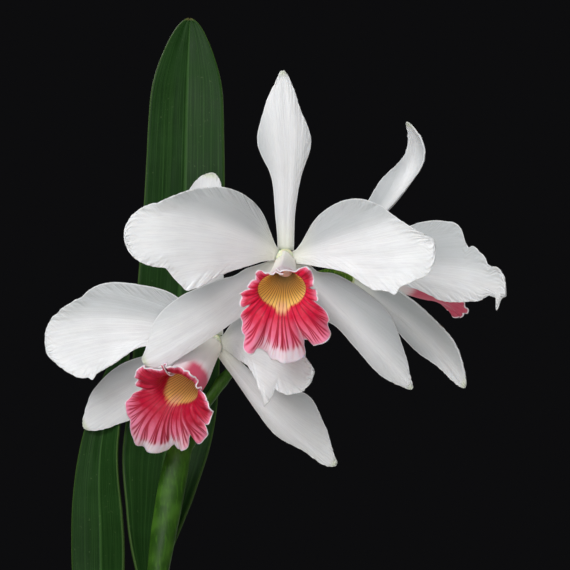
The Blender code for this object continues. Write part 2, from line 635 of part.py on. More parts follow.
def blade(azimuth, length, sweep, left, right, bend=0, tip=0.2, least=1.4, cup=(0, 0), keel=0,
          wave=(0, 0), root=TEPAL_ROOT, front=0.0, along=12, across=4):
    """Grid of a petal or sepal in its bloom's axes.

    The midrib leaves the collar at azimuth, in degrees clockwise from up as the bloom's viewer sees it,
    and turns by bend along its length. It leans forward by the angles in sweep. The half widths left and
    right, in millimetres, stand at equal steps from root to tip.
    """
    fine = np.linspace(0, 1, FINE_STEPS + 1)
    lean = np.radians(smooth_steps(sweep, fine))[:, None]
    turn = np.radians(azimuth + bend * (fine - 0.3))
    level = np.zeros_like(turn)
    outward = np.stack([np.sin(turn), level, np.cos(turn)], axis=-1)
    heading = np.cos(lean) * outward + np.sin(lean) * np.array([0, -1.0, 0])
    step = length * MM * (heading[1:] + heading[:-1]) / 2 / FINE_STEPS
    start = outward[0] * root + np.array([0, -front, 0])
    midrib = np.vstack([start, start + np.cumsum(step, axis=0)])
    side = np.stack([np.cos(turn), level, -np.sin(turn)], axis=-1)
    face = np.cross(side, heading)
    t = np.linspace(0, 1, along + 1)
    at = np.round(t * FINE_STEPS).astype(int)
    s = np.linspace(-1, 1, across + 1)
    close = rounded_tip(t, tip)
    half_left = np.maximum(smooth_steps(np.array(left) * MM, t) * close, least * MM)
    half_right = np.maximum(smooth_steps(np.array(right) * MM, t) * close, least * MM)
    half = np.where(s < 0, half_left[:, None], half_right[:, None])
    mean = (half_left + half_right)[:, None] / 2
    rise = smooth_steps(np.array(cup, float), t)[:, None] * mean * s**2
    rise = rise - keel * MM * np.exp(-((s / 0.2) ** 2)) * np.clip(mean / (10 * MM), 0, 1)
    grow = np.clip(t * 1.6, 0, 1)[:, None]
    ripple = wave[0] * MM * grow * np.abs(s) ** 2.5
    ripple = ripple * np.sin(math.tau * wave[1] * t[:, None] + np.where(s < 0, 0.0, 2.1))
    across_way = side[at][:, None] * (half * s)[..., None]
    return midrib[at][:, None] + across_way + face[at][:, None] * (rise + ripple)[..., None]


def smooth_between(value, low, high):
    """0 below low, 1 above high, and a smooth rise between them."""
    share = np.clip((value - low) / (high - low), 0, 1)
    return share**2 * (3 - 2 * share)


def running_share(values):
    """Running mean of values, from 0 at the first to their mean at the last."""
    return np.concatenate([[0], np.cumsum((values[1:] + values[:-1]) / 2)]) / (len(values) - 1)


def trumpet(skirt, droop, tube=44, radii=(5.2, 6.1, 8.0, 10.6), wide=1.26, flare=100, snap=2.2,
            frill=(1.6, 11), around=36, along=8, yaw=0, overlap=8, hood=0.85):
    """Grid of a lip: a sheet rolled into a tube about the column, which flares into a frilled skirt.

    skirt holds the flared length, in millimetres, at equal steps of angle once round from the top, past
    the left side, the bottom and the right side, back to the top. The skirt turns outward by flare
    degrees, most of it near the mouth where snap is high, and hood is how far its top stays straight.
    """
    t = np.linspace(0, 1, along + 1)[:, None]
    inner = np.clip(t / LIP_TUBE_SHARE, 0, 1)
    outer = np.clip((t - LIP_TUBE_SHARE) / (1 - LIP_TUBE_SHARE), 0, 1)
    psi = np.radians(np.linspace(-180 - overlap, 180 + overlap, around + 1))[None, :]
    reach = smooth_steps(np.array(skirt) * MM, (psi[0] + math.pi) / math.tau)[None, :]
    bore = smooth_steps(np.array(radii) * MM, inner[:, 0])[:, None]
    fine = np.linspace(0, 1, FINE_STEPS + 1)
    turn = math.radians(flare) * (1 - (1 - fine) ** snap)
    straight = hood * smooth_between(np.degrees(np.abs(psi)), LIP_HOOD_START, LIP_HOOD_FULL)
    out_share = np.interp(outer, fine, running_share(np.sin(turn)))
    on_share = np.interp(outer, fine, running_share(np.cos(turn)))
    spread = reach * (out_share + (LIP_HOOD_LEAN * outer - out_share) * straight)
    onward = reach * (on_share + (outer - on_share) * straight)
    frill_height = frill[0] * MM * outer**1.5 * np.clip(reach / (20 * MM), 0.4, 1.2)
    onward = onward + frill_height * np.sin(frill[1] * psi + 0.8)
    lap = LIP_LAP * psi / math.pi
    stretch = 1 + (wide - 1) * inner
    ahead = LIP_START + tube * MM * inner + onward
    sideways = np.sin(psi) * ((bore + lap) * stretch + spread)
    upward = -np.cos(psi) * (bore + lap + spread)
    tilt = math.radians(droop)
    aim = math.radians(yaw)
    forward = -np.cos(tilt) * ahead - np.sin(tilt) * upward
    height = -np.sin(tilt) * ahead + np.cos(tilt) * upward
    x = sideways * math.cos(aim) - forward * math.sin(aim)
    y = sideways * math.sin(aim) + forward * math.cos(aim)
    return np.stack([x, y, height], axis=-1)


def make_column(name, parts, material, parent, droop):
    """Collar that carries the tepals, and the column that stands on it inside the lip's tube."""
    tilt = math.radians(droop)
    way = Vector((0, -math.cos(tilt), -math.sin(tilt)))
    narrow = COLLAR_RADIUS - COLLAR_EDGE
    collar = (
        (-COLLAR_BACK, narrow),
        (-COLLAR_BACK + COLLAR_EDGE, COLLAR_RADIUS),
        (COLLAR_FRONT - COLLAR_EDGE, COLLAR_RADIUS),
        (COLLAR_FRONT, narrow),
        (COLLAR_FRONT + GAP, COLLAR_FACE_RADIUS),
    )
    points = [Vector((0, -ahead, 0)) for ahead, _ in collar]
    points += [way * ahead * MM for ahead, _ in COLUMN_SHAFT]
    radii = [radius for _, radius in collar]
    radii += [radius * MM for _, radius in COLUMN_SHAFT]
    tube_object(name, points, radii, parts, material, parent, sides=12)


def make_bloom(which, spec, parts, materials):
    anchor = bpy.data.objects.new(f"bloom_{which}", None)
    parts.objects.link(anchor)
    anchor.location = Vector(spec["place"]) * MM
    anchor.rotation_euler = (-math.radians(spec["pitch"]), 0, math.radians(spec["yaw"]))
    for kind, shape in spec["tepals"].items():
        is_petal = kind.startswith("petal")
        thickness = PETAL_THICKNESS if is_petal else SEPAL_THICKNESS
        material = materials["petal"] if is_petal else materials["sepal"]
        sheet_object(f"{which}_{kind}", blade(**shape), thickness, parts, material, anchor)
    lip_points = trumpet(**spec["lip"])
    sheet_object(f"{which}_lip", lip_points, LIP_THICKNESS, parts, materials["lip"], anchor)
    make_column(f"{which}_column", parts, materials["column"], anchor, spec["lip"]["droop"])
    back = anchor.rotation_euler.to_matrix() @ Vector((0, 1, 0))
    start = anchor.location + back * (COLLAR_BACK + GAP)
    straight = start + back * PEDICEL_STRAIGHT
    count = 2 + 3 * len(spec["pedicel"])
    route = smooth_route((tuple(start / MM), tuple(straight / MM), *spec["pedicel"]), count)
    widths = smooth_steps(np.array(PEDICEL_RADII) * MM, np.linspace(0, 1, count))
    tube_object(f"{which}_pedicel", route, widths, parts, materials["stem"])


def make_materials():
    return {
        "pot": new_material("terracotta", (0.45, 0.17, 0.08), 0.85),
        "bark": new_material("fir_bark", (0.10, 0.05, 0.03), 0.9),
        "root": new_material("rhizome", (0.36, 0.38, 0.24), 0.7),
        "bulb": new_material("pseudobulb", (0.16, 0.26, 0.07), 0.5),
        "leaf": new_material("leaf", (0.05, 0.14, 0.03), 0.45),
        "stem": new_material("stem", (0.17, 0.32, 0.06), 0.5),
        "sheath": new_material("sheath", (0.22, 0.36, 0.10), 0.5),
        "petal": new_material("petal", (0.88, 0.87, 0.87), 0.6),
        "sepal": new_material("sepal", (0.86, 0.86, 0.84), 0.6),
        "lip": new_material("lip", (0.72, 0.06, 0.16), 0.5),
        "column": new_material("column", (0.85, 0.85, 0.65), 0.5),
    }


def main():
    clear_scene()
    parts = new_collection("cattleya_orchid")
    cutters = new_collection("cutters")
    materials = make_materials()
    make_pot(parts, cutters, materials["pot"])
    make_medium(parts, cutters, materials["bark"])
    make_rhizome(parts, cutters, materials["root"])
    for name, spec in BULBS.items():
        make_bulb(name, spec, cutters, parts, materials["bulb"])
    make_leaves(parts, materials["leaf"])
    make_sheath(parts, materials["sheath"])
    make_peduncle(parts, materials["stem"])
    for which, spec in BLOOMS.items():
        make_bloom(which, spec, parts, materials)
    bpy.context.view_layer.update()


main()
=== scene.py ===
"""Potted cattleya orchid: the fine surfaces, the materials, the light and the camera.

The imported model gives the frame. Every piece here repeats the rule that shapes its node, on a finer grid,
and adds what the node leaves out: ruffles, pleats, veins, papery sheaths, loose bark and moss.
"""
import json
import math

import bmesh
import bpy
import numpy as np
from bpy.props import FloatProperty, FloatVectorProperty, IntProperty, PointerProperty
from mathutils import Matrix, Vector

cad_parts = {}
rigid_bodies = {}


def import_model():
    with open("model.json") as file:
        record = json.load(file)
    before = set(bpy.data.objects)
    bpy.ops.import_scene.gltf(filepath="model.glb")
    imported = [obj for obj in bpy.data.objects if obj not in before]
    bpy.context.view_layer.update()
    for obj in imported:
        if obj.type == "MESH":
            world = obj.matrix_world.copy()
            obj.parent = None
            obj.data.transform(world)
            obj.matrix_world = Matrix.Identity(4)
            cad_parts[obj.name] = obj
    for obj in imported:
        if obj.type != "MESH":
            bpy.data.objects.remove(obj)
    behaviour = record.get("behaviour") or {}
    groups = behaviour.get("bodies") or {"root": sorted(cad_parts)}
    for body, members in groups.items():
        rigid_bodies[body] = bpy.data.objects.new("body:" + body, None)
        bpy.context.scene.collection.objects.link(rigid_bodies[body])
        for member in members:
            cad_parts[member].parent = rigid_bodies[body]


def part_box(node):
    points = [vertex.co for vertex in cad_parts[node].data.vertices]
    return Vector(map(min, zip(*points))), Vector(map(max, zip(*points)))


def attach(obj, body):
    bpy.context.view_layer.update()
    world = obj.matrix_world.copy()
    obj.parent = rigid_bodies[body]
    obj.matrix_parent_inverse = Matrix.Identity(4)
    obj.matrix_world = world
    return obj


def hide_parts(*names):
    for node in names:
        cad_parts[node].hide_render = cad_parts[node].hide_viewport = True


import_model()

bl_info = {
    "name": "Potted cattleya orchid",
    "version": (1, 0, 0),
    "blender": (4, 5, 0),
    "location": "3D View > Sidebar > Orchid",
    "description": "Builds a potted cattleya orchid with three open blooms, and the stage it stands on",
    "category": "Add Mesh",
}

MM = 0.001
GAP = 0.3 * MM

# Camera: the photograph's frame is 570 pixels square, and a pixel is 0.57 mm at one metre
PHOTO_PIXELS = 570
PIXEL_AT_METRE = 0.57 * MM
CAMERA_PLACE = (0.065, -1.035, 0.450)

# Pot and medium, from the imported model
POT_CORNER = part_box("pot")[1]
POT_HEIGHT = POT_CORNER.z
POT_RIM_RADIUS = POT_CORNER.x
POT_FOOT_RADIUS = 48 * MM
POT_WALL = 5.5 * MM
POT_FLOOR = 8 * MM
POT_BAND = 22 * MM
POT_BAND_STEP = 3 * MM
POT_BAND_TAPER = 1.2 * MM
POT_EDGE = 1.5 * MM
DRAIN_RADIUS = 6 * MM
DRAIN_CIRCLE = 27 * MM
DRAIN_HOLES = 4
BARK_TOP = 100 * MM

# Rhizome, roots and pseudobulbs: their routes, and the pseudobulbs' radii from foot to top, in millimetres
RHIZOME_RADIUS = 6 * MM
RHIZOME_HEIGHT = 101 * MM
RHIZOME_ROUTE = (
    (-46, -27), (-42, -18), (-36, -4), (-30, 9), (-19, 12), (-8, 10), (4, 8), (16, 5), (27, -3), (38, -11),
)
ROOT_RADII = (1.9 * MM, 1.2 * MM)
ROOT_ROUTES = (
    ((-8, 8, 101), (-10, -2, 102), (-4, -14, 102.5), (4, -26, 101), (8, -36, 97)),
    ((-30, 12, 101), (-34, 22, 102.5), (-30, 34, 101.5), (-22, 42, 97)),
    ((16, 8, 101), (20, 18, 102.5), (16, 30, 102), (8, 40, 97)),
    ((30, -6, 101), (28, -18, 102.5), (32, -30, 101), (34, -38, 97)),
    ((-38, -10, 101), (-28, -16, 102.5), (-20, -28, 101.5), (-18, -40, 97)),
)
BULB_FOOT = RHIZOME_HEIGHT + RHIZOME_RADIUS + 2 * GAP
BULB_RIBS = 9
BULB_RIB_DEPTH = 0.07
BULBS = {
    "pseudobulb_lead": dict(foot=(-8, 10), top=(-14, 13, 260), radii=(5.5, 7, 9.5, 11.5, 12, 11, 9, 8)),
    "pseudobulb_second": dict(foot=(-30, 9), top=(-45, 24, 200), radii=(5, 7.5, 10.5, 12, 11.5, 9, 6.5, 5.5)),
    "pseudobulb_old": dict(foot=(-42, -18), top=(-58, -34, 192), radii=(5, 7.5, 10.5, 12, 11, 8.5, 6, 5.5)),
    "pseudobulb_side": dict(foot=(16, 5), top=(30, 17, 188), radii=(5, 7, 10, 11.5, 10.5, 8.5, 6, 5.5)),
    "pseudobulb_young": dict(foot=(29.5, -5), top=(42, -16, 166), radii=(4.5, 6, 7.5, 8, 7.5, 6.5, 5.5, 5)),
}

# Joins: how far a pseudobulb's top is rounded, and how far a leaf's foot, the flower sheath's and a
# petal's reach back beyond the start of their routes
BULB_SHOULDER = 1.7 * MM
LEAF_JOIN = 2.2 * MM
SHEATH_JOIN = 2.0 * MM
BLADE_JOIN = 1.0 * MM

# Leaves: midrib routes and half widths in millimetres, from the pseudobulb to the tip
LEAVES = {
    "leaf_upright": dict(
        route=((-16, 18.5, 260.8), (-15.5, 30, 290), (-12.5, 47, 318), (-10, 57, 342), (-4, 62, 380),
               (-1.5, 66, 440), (1.7, 71, 500), (2.7, 78, 562), (4, 88, 620)),
        widths=(5, 17, 26, 27, 26, 25.5, 24.5, 22.5, 17), facing=((0, -1, 0.3), (0, -1, 0), (0, -1, -0.1)),
        fold=(0.55, 0.3, 0.22, 0.2, 0.15), share=0.15, wave=(0.8, 2),
    ),
    "leaf_second": dict(
        route=((-45, 24, 200.8), (-46.5, 34, 240), (-48, 44, 290), (-49.5, 51, 336), (-46, 54, 366),
               (-39, 58, 396), (-34, 62, 415)),
        widths=(4.6, 12, 18, 18, 14, 10, 6), facing=((-0.3, -1, 0.3), (-0.5, -1, 0), (-0.5, -1, -0.1)),
        fold=(0.6, 0.3, 0.25, 0.2, 0.2), wave=(0.6, 1.5),
    ),
    "leaf_low_left": dict(
        route=((-58, -34, 192.8), (-67, -40, 222), (-88, -50, 258), (-120, -62, 290), (-158, -74, 312),
               (-200, -86, 318)),
        widths=(4.6, 13, 19, 20.5, 18, 10), facing=((0.8, 0.5, 0.5), (0.6, 0, 0.9), (0.2, 0, 1)),
        fold=(0.6, 0.35, 0.25, 0.2, 0.15), wave=(0.8, 2),
    ),
    "leaf_low_right": dict(
        route=((30, 17, 188.8), (38, 23, 212), (62, 38, 244), (102, 56, 262), (148, 70, 254), (186, 80, 228)),
        widths=(4.6, 13, 19.5, 21, 17, 9), facing=((-0.7, -0.4, 0.6), (-0.1, 0, 1), (0.2, 0, 1)),
        fold=(0.6, 0.35, 0.25, 0.2, 0.15), wave=(0.8, 2),
    ),
    "leaf_young": dict(
        route=((42, -16, 166.8), (48, -22, 190), (62, -34, 214), (84, -50, 230), (108, -66, 230)),
        widths=(4.2, 9, 12.5, 12, 6), facing=((-0.6, 0.5, 0.6), (-0.2, 0.2, 1), (0.1, 0, 1)),
        fold=(0.7, 0.45, 0.3, 0.25),
    ),
}

# Moss on the bark: middles and radii of its patches in millimetres, and its height
MOSS_PATCHES = ((-38, -28, 12), (40, 22, 14), (18, -46, 9), (-20, 44, 11), (52, -16, 8))
MOSS_HEIGHT = BARK_TOP - 1 * MM

# Flower stem, its joint and its knob as shares of its length, its sheath, and the blooms' stalks.
# The sheath's half widths and the stalks' radii are in millimetres
PEDUNCLE_ROUTE = (
    (-13, 9, 260.9), (-8, 13, 300), (0, 21, 345), (4, 25.5, 356), (11.5, 31, 371),
    (20, 36.5, 382), (28, 39.5, 393), (44, 42, 411), (58, 42.5, 436),
)
PEDUNCLE_RADIUS = 3.3 * MM
JOINT_PLACE = 0.72
JOINT_RADIUS = 3.8 * MM
KNOB_PLACE = 0.925
KNOB_RADIUS = 4.4 * MM
PEDUNCLE_END_RADIUS = 3.2 * MM
SHEATH_START = 0.4 * MM
SHEATH_LENGTH = 112 * MM
SHEATH_WIDE = (4.8, 6.4, 7.6, 8.0, 7.2, 5.8)
SHEATH_DEEP = (4.8, 4.8, 5.0, 5.0, 4.9, 4.9)
SHEATH_WRAP = 162
SHEATH_SLANT = 7 * MM
SHEATH_THICKNESS = 0.8 * MM
PEDICEL_RADII = (3.6, 3.8, 3.2, 2.5, 2.2, 2.1, 1.9)
PEDICEL_STRAIGHT = 6 * MM

# Where the parts of every bloom meet, in the bloom's own axes
COLLAR_RADIUS = 5.2 * MM
COLLAR_EDGE = 0.6 * MM
COLLAR_BACK = 1.6 * MM
COLLAR_FRONT = 2.0 * MM
TEPAL_ROOT = COLLAR_RADIUS + GAP
SEPAL_BACK = 0.6 * MM
PETAL_FRONT = 1.2 * MM
LIP_START = 2.8 * MM

# Lips: the share of the length that is tube, how far the edges lap, how far from straight down the hood
# starts and is full, in degrees, and how far it leans outward
LIP_TUBE_SHARE = 0.4
LIP_LAP = 0.9 * MM
LIP_HOOD_START = 138
LIP_HOOD_FULL = 160
LIP_HOOD_LEAN = 0.15

# Blooms: places and routes in millimetres in the plant's axes, and the blades' and lips' own shapes
PETAL = dict(front=PETAL_FRONT, tip=0.22, cup=(0, 0.1, 0.05), wave=(1.1, 2.5))
SEPAL = dict(front=-SEPAL_BACK, tip=0.16, cup=(-0.25, -0.2, -0.1), keel=0.5, along=92, across=40)
BLOOMS = {
    "front": dict(
        place=(65, -35, 465.5), yaw=0, pitch=0,
        pedicel=((65, -14, 465.8), (64.6, 8, 462), (62.5, 27, 453), (57.1, 42.4, 438.3)),
        tepals={
            "dorsal_sepal": dict(SEPAL, azimuth=1, bend=-10, length=101, sweep=(4, 10, -8),
                                 left=(4.5, 7, 9.5, 17, 12, 4), right=(4.5, 4.2, 7.2, 13.3, 7.5, 4)),
            "lateral_sepal_l": dict(SEPAL, azimuth=-129, bend=19, length=98, sweep=(-6, -8, -14),
                                    left=(4.5, 8.5, 8, 8, 8.5, 10), right=(4.5, 13, 18, 21.5, 18, 5)),
            "lateral_sepal_r": dict(SEPAL, azimuth=135, bend=4, length=101.3, sweep=(-6, -8, -14),
                                    left=(4.5, 13, 18.5, 19.5, 11.5, 3), right=(4.5, 18, 8, 8, 8.5, 4)),
            "petal_l": dict(PETAL, azimuth=-78.5, bend=-27, length=92.5, sweep=(34, 26, 8),
                            left=(3.5, 12, 20.5, 29, 18, 19), right=(3.5, 22, 29, 26.5, 19, 18)),
            "petal_r": dict(PETAL, azimuth=85.5, bend=-6, length=85, sweep=(34, 26, 8), tip=0.32,
                            left=(3.5, 21.5, 29, 28, 16, 7), right=(3.5, 6.5, 11, 23, 22.5, 30)),
        },
        lip=dict(droop=22, yaw=-3, gable=0.85, lowered=0.16,
                 skirt=(5, 5, 5, 7, 5, 6, 9, 11, 16, 21, 32, 31, 34, 34, 29, 29, 20, 9, 7, 6, 8, 10, 6,
                        5, 5)),
    ),
    "left": dict(
        place=(23.4, 15, 415.5), yaw=-30, pitch=-6,
        pedicel=((30.5, 27.5, 417), (35, 36, 415), (37.2, 40.9, 409.7)),
        tepals={
            "dorsal_sepal": dict(SEPAL, azimuth=4, bend=8, length=97, sweep=(4, 10, -8),
                                 left=(4.5, 8, 12, 16, 17, 14), right=(4.5, 6, 7.5, 9, 9, 7)),
            "lateral_sepal_l": dict(SEPAL, azimuth=-120, length=100, sweep=(4, 12, 8),
                                    left=(4.5, 9, 12.5, 13.5, 9.5, 7), right=(4.5, 10, 17, 21, 17.5, 8.5)),
            "lateral_sepal_r": dict(SEPAL, azimuth=140, bend=-21, length=97.5, sweep=(-6, -8, -14),
                                    left=(4.5, 7, 13, 23, 16, 4), right=(4.5, 5, 8, 11, 6, 7)),
            "petal_l": dict(PETAL, azimuth=-84, bend=-34, length=99, sweep=(34, 28, 14),
                            left=(3.5, 7.5, 7, 17, 22, 15), right=(3.5, 24, 30.5, 32, 23, 22)),
            "petal_r": dict(PETAL, azimuth=92, bend=21, length=92.5, sweep=(30, 26, 16),
                            left=(3.5, 14, 19, 19, 17, 5), right=(3.5, 9, 12.5, 28, 18, 22)),
        },
        lip=dict(droop=26, yaw=-1, hood=0.2, radii=(5.2, 7.6, 10.2, 10.8),
                 skirt=(10, 8, 14, 16, 16, 15, 18, 28, 34, 43, 40, 36, 31, 28, 24, 17, 13, 8, 4, 3, 5, 8,
                        8, 12, 10)),
    ),
    "right": dict(
        place=(106.5, 35, 455), yaw=112, pitch=2,
        pedicel=((93, 29, 456.8), (79, 28, 453), (67, 35.5, 444.5), (60.9, 42.6, 436.1)),
        tepals={
            "dorsal_sepal": dict(SEPAL, azimuth=-2.5, bend=-12, length=104, sweep=(14, 46, 26, -34),
                                 cup=(-0.25, -0.27, -0.21, -0.08),
                                 left=(4.5, 11, 15.5, 16, 17, 12), right=(4.5, 11, 19.5, 24, 9, 4)),
            "lateral_sepal_l": dict(SEPAL, azimuth=-128.5, bend=-14, length=101, sweep=(26, 22, 12),
                                    left=(4.5, 6.5, 8.5, 10, 6, 5), right=(4.5, 13.5, 18, 19, 18, 10)),
            "lateral_sepal_r": dict(SEPAL, azimuth=106, length=92, sweep=(32, 30, 20),
                                    left=(4.5, 9, 13, 14, 11, 5), right=(4.5, 9, 12, 12, 10, 5)),
            "petal_l": dict(PETAL, azimuth=-93, bend=-34, length=97.5, sweep=(42, 40, 28),
                            left=(3.5, 4.5, 10, 15, 11, 5), right=(3.5, 20, 30.5, 31.5, 17.5, 20)),
            "petal_r": dict(PETAL, azimuth=78, bend=10, length=93, sweep=(34, 30, 20),
                            left=(3.5, 18, 26, 27, 20, 15), right=(3.5, 12, 18, 20, 17, 14)),
        },
        lip=dict(droop=6, tube=50, flare=38, snap=1.3,
                 skirt=(6, 6, 7, 8, 8, 8, 9, 12, 16, 20, 23, 25, 25, 25, 23, 20, 16, 12, 9, 8, 8, 8, 7,
                        6, 6)),
    ),
}

# Lobes and notches of the lips' margins: angle from straight down in degrees, how far the margin moves
# out in millimetres, half width in degrees
LIP_EDGES = {
    "front": ((-117, -2, 4), (-93, -3.5, 3), (-83, 2.5, 6), (-62, -7, 3), (-36, -2.5, 3), (-20, -2, 5),
              (-7, 2, 3), (23, -7, 2.5), (52, -2, 3), (69, -5.5, 3), (95, -3.5, 3)),
    "left": ((-94, -5, 4), (-61, -2.5, 3), (-44, 2.5, 3), (-16, -4, 2), (6, -8, 3.5), (34, -13, 3.5),
             (53, 1, 5), (84, -4, 4), (-187, 9, 7)),
    "right": ((-60, -3, 4), (-20, -2, 3), (30, -3, 3)),
}

# Painted shade laid over the petals and sepals of each bloom, and over one sepal by itself, where the lamps
# light them less
TEPAL_PAINTED_SHADE = {"front": 0.0, "left": 0.05, "right": 0.35, "front_lateral_sepal_r": 0.4}

# Lobes and notches of the petals' and sepals' margins: side (-1 left, 1 right), place from root to tip,
# how far the margin moves out in millimetres, half width as a share of the length
TEPAL_EDGES = {
    "front_lateral_sepal_l": ((1, 0.24, -2.0, 0.07),),
    "front_lateral_sepal_r": ((-1, 0.14, -3.0, 0.05),),
    "front_petal_l": ((-1, 0.62, 1.2, 0.03), (-1, 0.76, -1.8, 0.04), (1, 0.8, -0.8, 0.02)),
    "front_petal_r": ((1, 0.62, -1.0, 0.03), (1, 0.71, 3, 0.025), (1, 0.87, -1.5, 0.05),
                      (-1, 0.7, 0.8, 0.03)),
    "left_petal_l": ((-1, 0.74, 2.5, 0.02), (1, 0.71, -1.0, 0.03), (1, 0.87, -0.7, 0.02)),
    "left_petal_r": ((1, 0.59, 3.5, 0.03), (1, 0.71, -4.5, 0.03), (1, 0.83, 2, 0.04)),
    "right_petal_l": ((1, 0.61, 1.5, 0.04), (1, 0.695, -5, 0.025), (1, 0.86, -3.5, 0.035),
                      (-1, 0.53, 1, 0.08), (-1, 0.88, -3, 0.035), (-1, 0.955, 14, 0.012)),
    "right_petal_r": ((1, 0.6, -1.2, 0.04), (-1, 0.7, 1.0, 0.05)),
}

# Middle of each lip's pale end: its angle in degrees, how much narrower it is than the front bloom's,
# and how much darker the crimson and the throat are painted there as shade, which also narrows the pale
# tongue
LIP_MIDDLE = {"front": (2, 1.0, 0.0), "left": (-24, 0.9, 0.55), "right": (0, 1.5, 0.4)}

# How much finer a petal's frill is than a lip's, how far its folds lean towards the tip, how far in from
# the margin a petal's and a lip's frill reach, and the length of skirt at which a lip's frill is full
FRILL_FINENESS = 1.8
FRILL_SLANT = 0.28
FRILL_REACH = 4.5 * MM
LIP_FRILL_REACH = 7 * MM
FULL_SKIRT = 20 * MM

# Column inside a lip: how far ahead of the collar, and how wide, in millimetres
COLUMN_SHAFT = ((6, 3.0), (12, 3.2), (19, 3.8), (23, 4.0), (25.5, 2.6))

# Rings round a pseudobulb and the papery sheaths at its foot, as shares of its height
BULB_RINGS = (0.22, 0.46, 0.70, 0.9)
BULB_WRAPS = ((0.0, 0.2), (0.17, 0.43))

# Lamps: place, width, and the setting that holds the power. All of them face LAMP_TARGET
LAMP_TARGET = (0.06, 0.0, 0.46)
LAMPS = {
    "key_lamp": ((-0.55, -1.05, 1.3), 0.9, "key_power"),
    "front_lamp": ((-0.1, -1.5, 0.55), 0.8, "front_power"),
    "fill_lamp": ((0.95, -1.3, 0.55), 1.0, "fill_power"),
    "back_lamp_left": ((-0.8, 1.0, 1.2), 0.6, "back_power"),
    "back_lamp_right": ((0.9, 0.9, 1.1), 0.6, "back_power"),
}

# Fineness: steps in which a curve is followed, and the least half width of a blade and of a leaf
FINE_STEPS = 240
BLADE_LEAST = 0.35 * MM
LEAF_LEAST = 0.4 * MM


def smooth_steps(values, t):
    """Smooth curve through values that stand at equal steps of t, from 0 to 1."""
    values = np.asarray(values, float)
    last = len(values) - 1
    x = np.clip(np.asarray(t, float), 0, 1) * last
    i = np.minimum(x.astype(int), last - 1)
    f = (x - i).reshape(x.shape + (1,) * (values.ndim - 1))
    before = values[np.maximum(i - 1, 0)]
    here = values[i]
    ahead = values[i + 1]
    after = values[np.minimum(i + 2, last)]
    linear = ahead - before
    square = 2 * before - 5 * here + 4 * ahead - after
    cube = 3 * here - before - 3 * ahead + after
    return here + 0.5 * (linear * f + square * f**2 + cube * f**3)


def smooth_route(route, count):
    """Points at even spacing along a smooth curve through a route given in millimetres."""
    fine = smooth_steps(np.array(route, float) * MM, np.linspace(0, 1, 40 * len(route)))
    steps = np.linalg.norm(np.diff(fine, axis=0), axis=1)
    along = np.concatenate([[0], np.cumsum(steps)])
    wanted = np.linspace(0, along[-1], count)
    return np.stack([np.interp(wanted, along, fine[:, k]) for k in range(3)], axis=-1)


def rounded_tip(t, share):
    """1 along a blade, falling along a quarter of an ellipse over the last share of its length."""
    past = np.clip((t - 1 + share) / share, 0, 1)
    return np.sqrt(np.maximum(1 - past**2, 0))


def tip_spaced(count):
    """Steps from 0 to 1 that crowd together towards 1, where a blade's tip is round."""
    x = np.linspace(0, 1, count)
    return 1 - (1 - x) ** 1.5 * (1 - 0.25 * x)


def ruffle(place, seed):
    """Uneven wave between about -1 and 1 along a margin, from waves that don't repeat together."""
    rng = np.random.default_rng(seed)
    total = np.zeros_like(place)
    for pitch, height in ((15, 0.5), (9.5, 0.45), (6.2, 0.3), (3.7, 0.14)):
        shift = rng.uniform(0, math.tau)
        drift = 0.8 * np.sin(place / (2.3 * pitch) + rng.uniform(0, math.tau))
        total += height * np.sin(math.tau * place / pitch + shift + drift)
    return total


def grid_normals(points):
    """Unit normals of a grid of points."""
    normal = np.cross(np.gradient(points, axis=1), np.gradient(points, axis=0))
    size = np.linalg.norm(normal, axis=-1, keepdims=True)
    return normal / np.maximum(size, 1e-12)


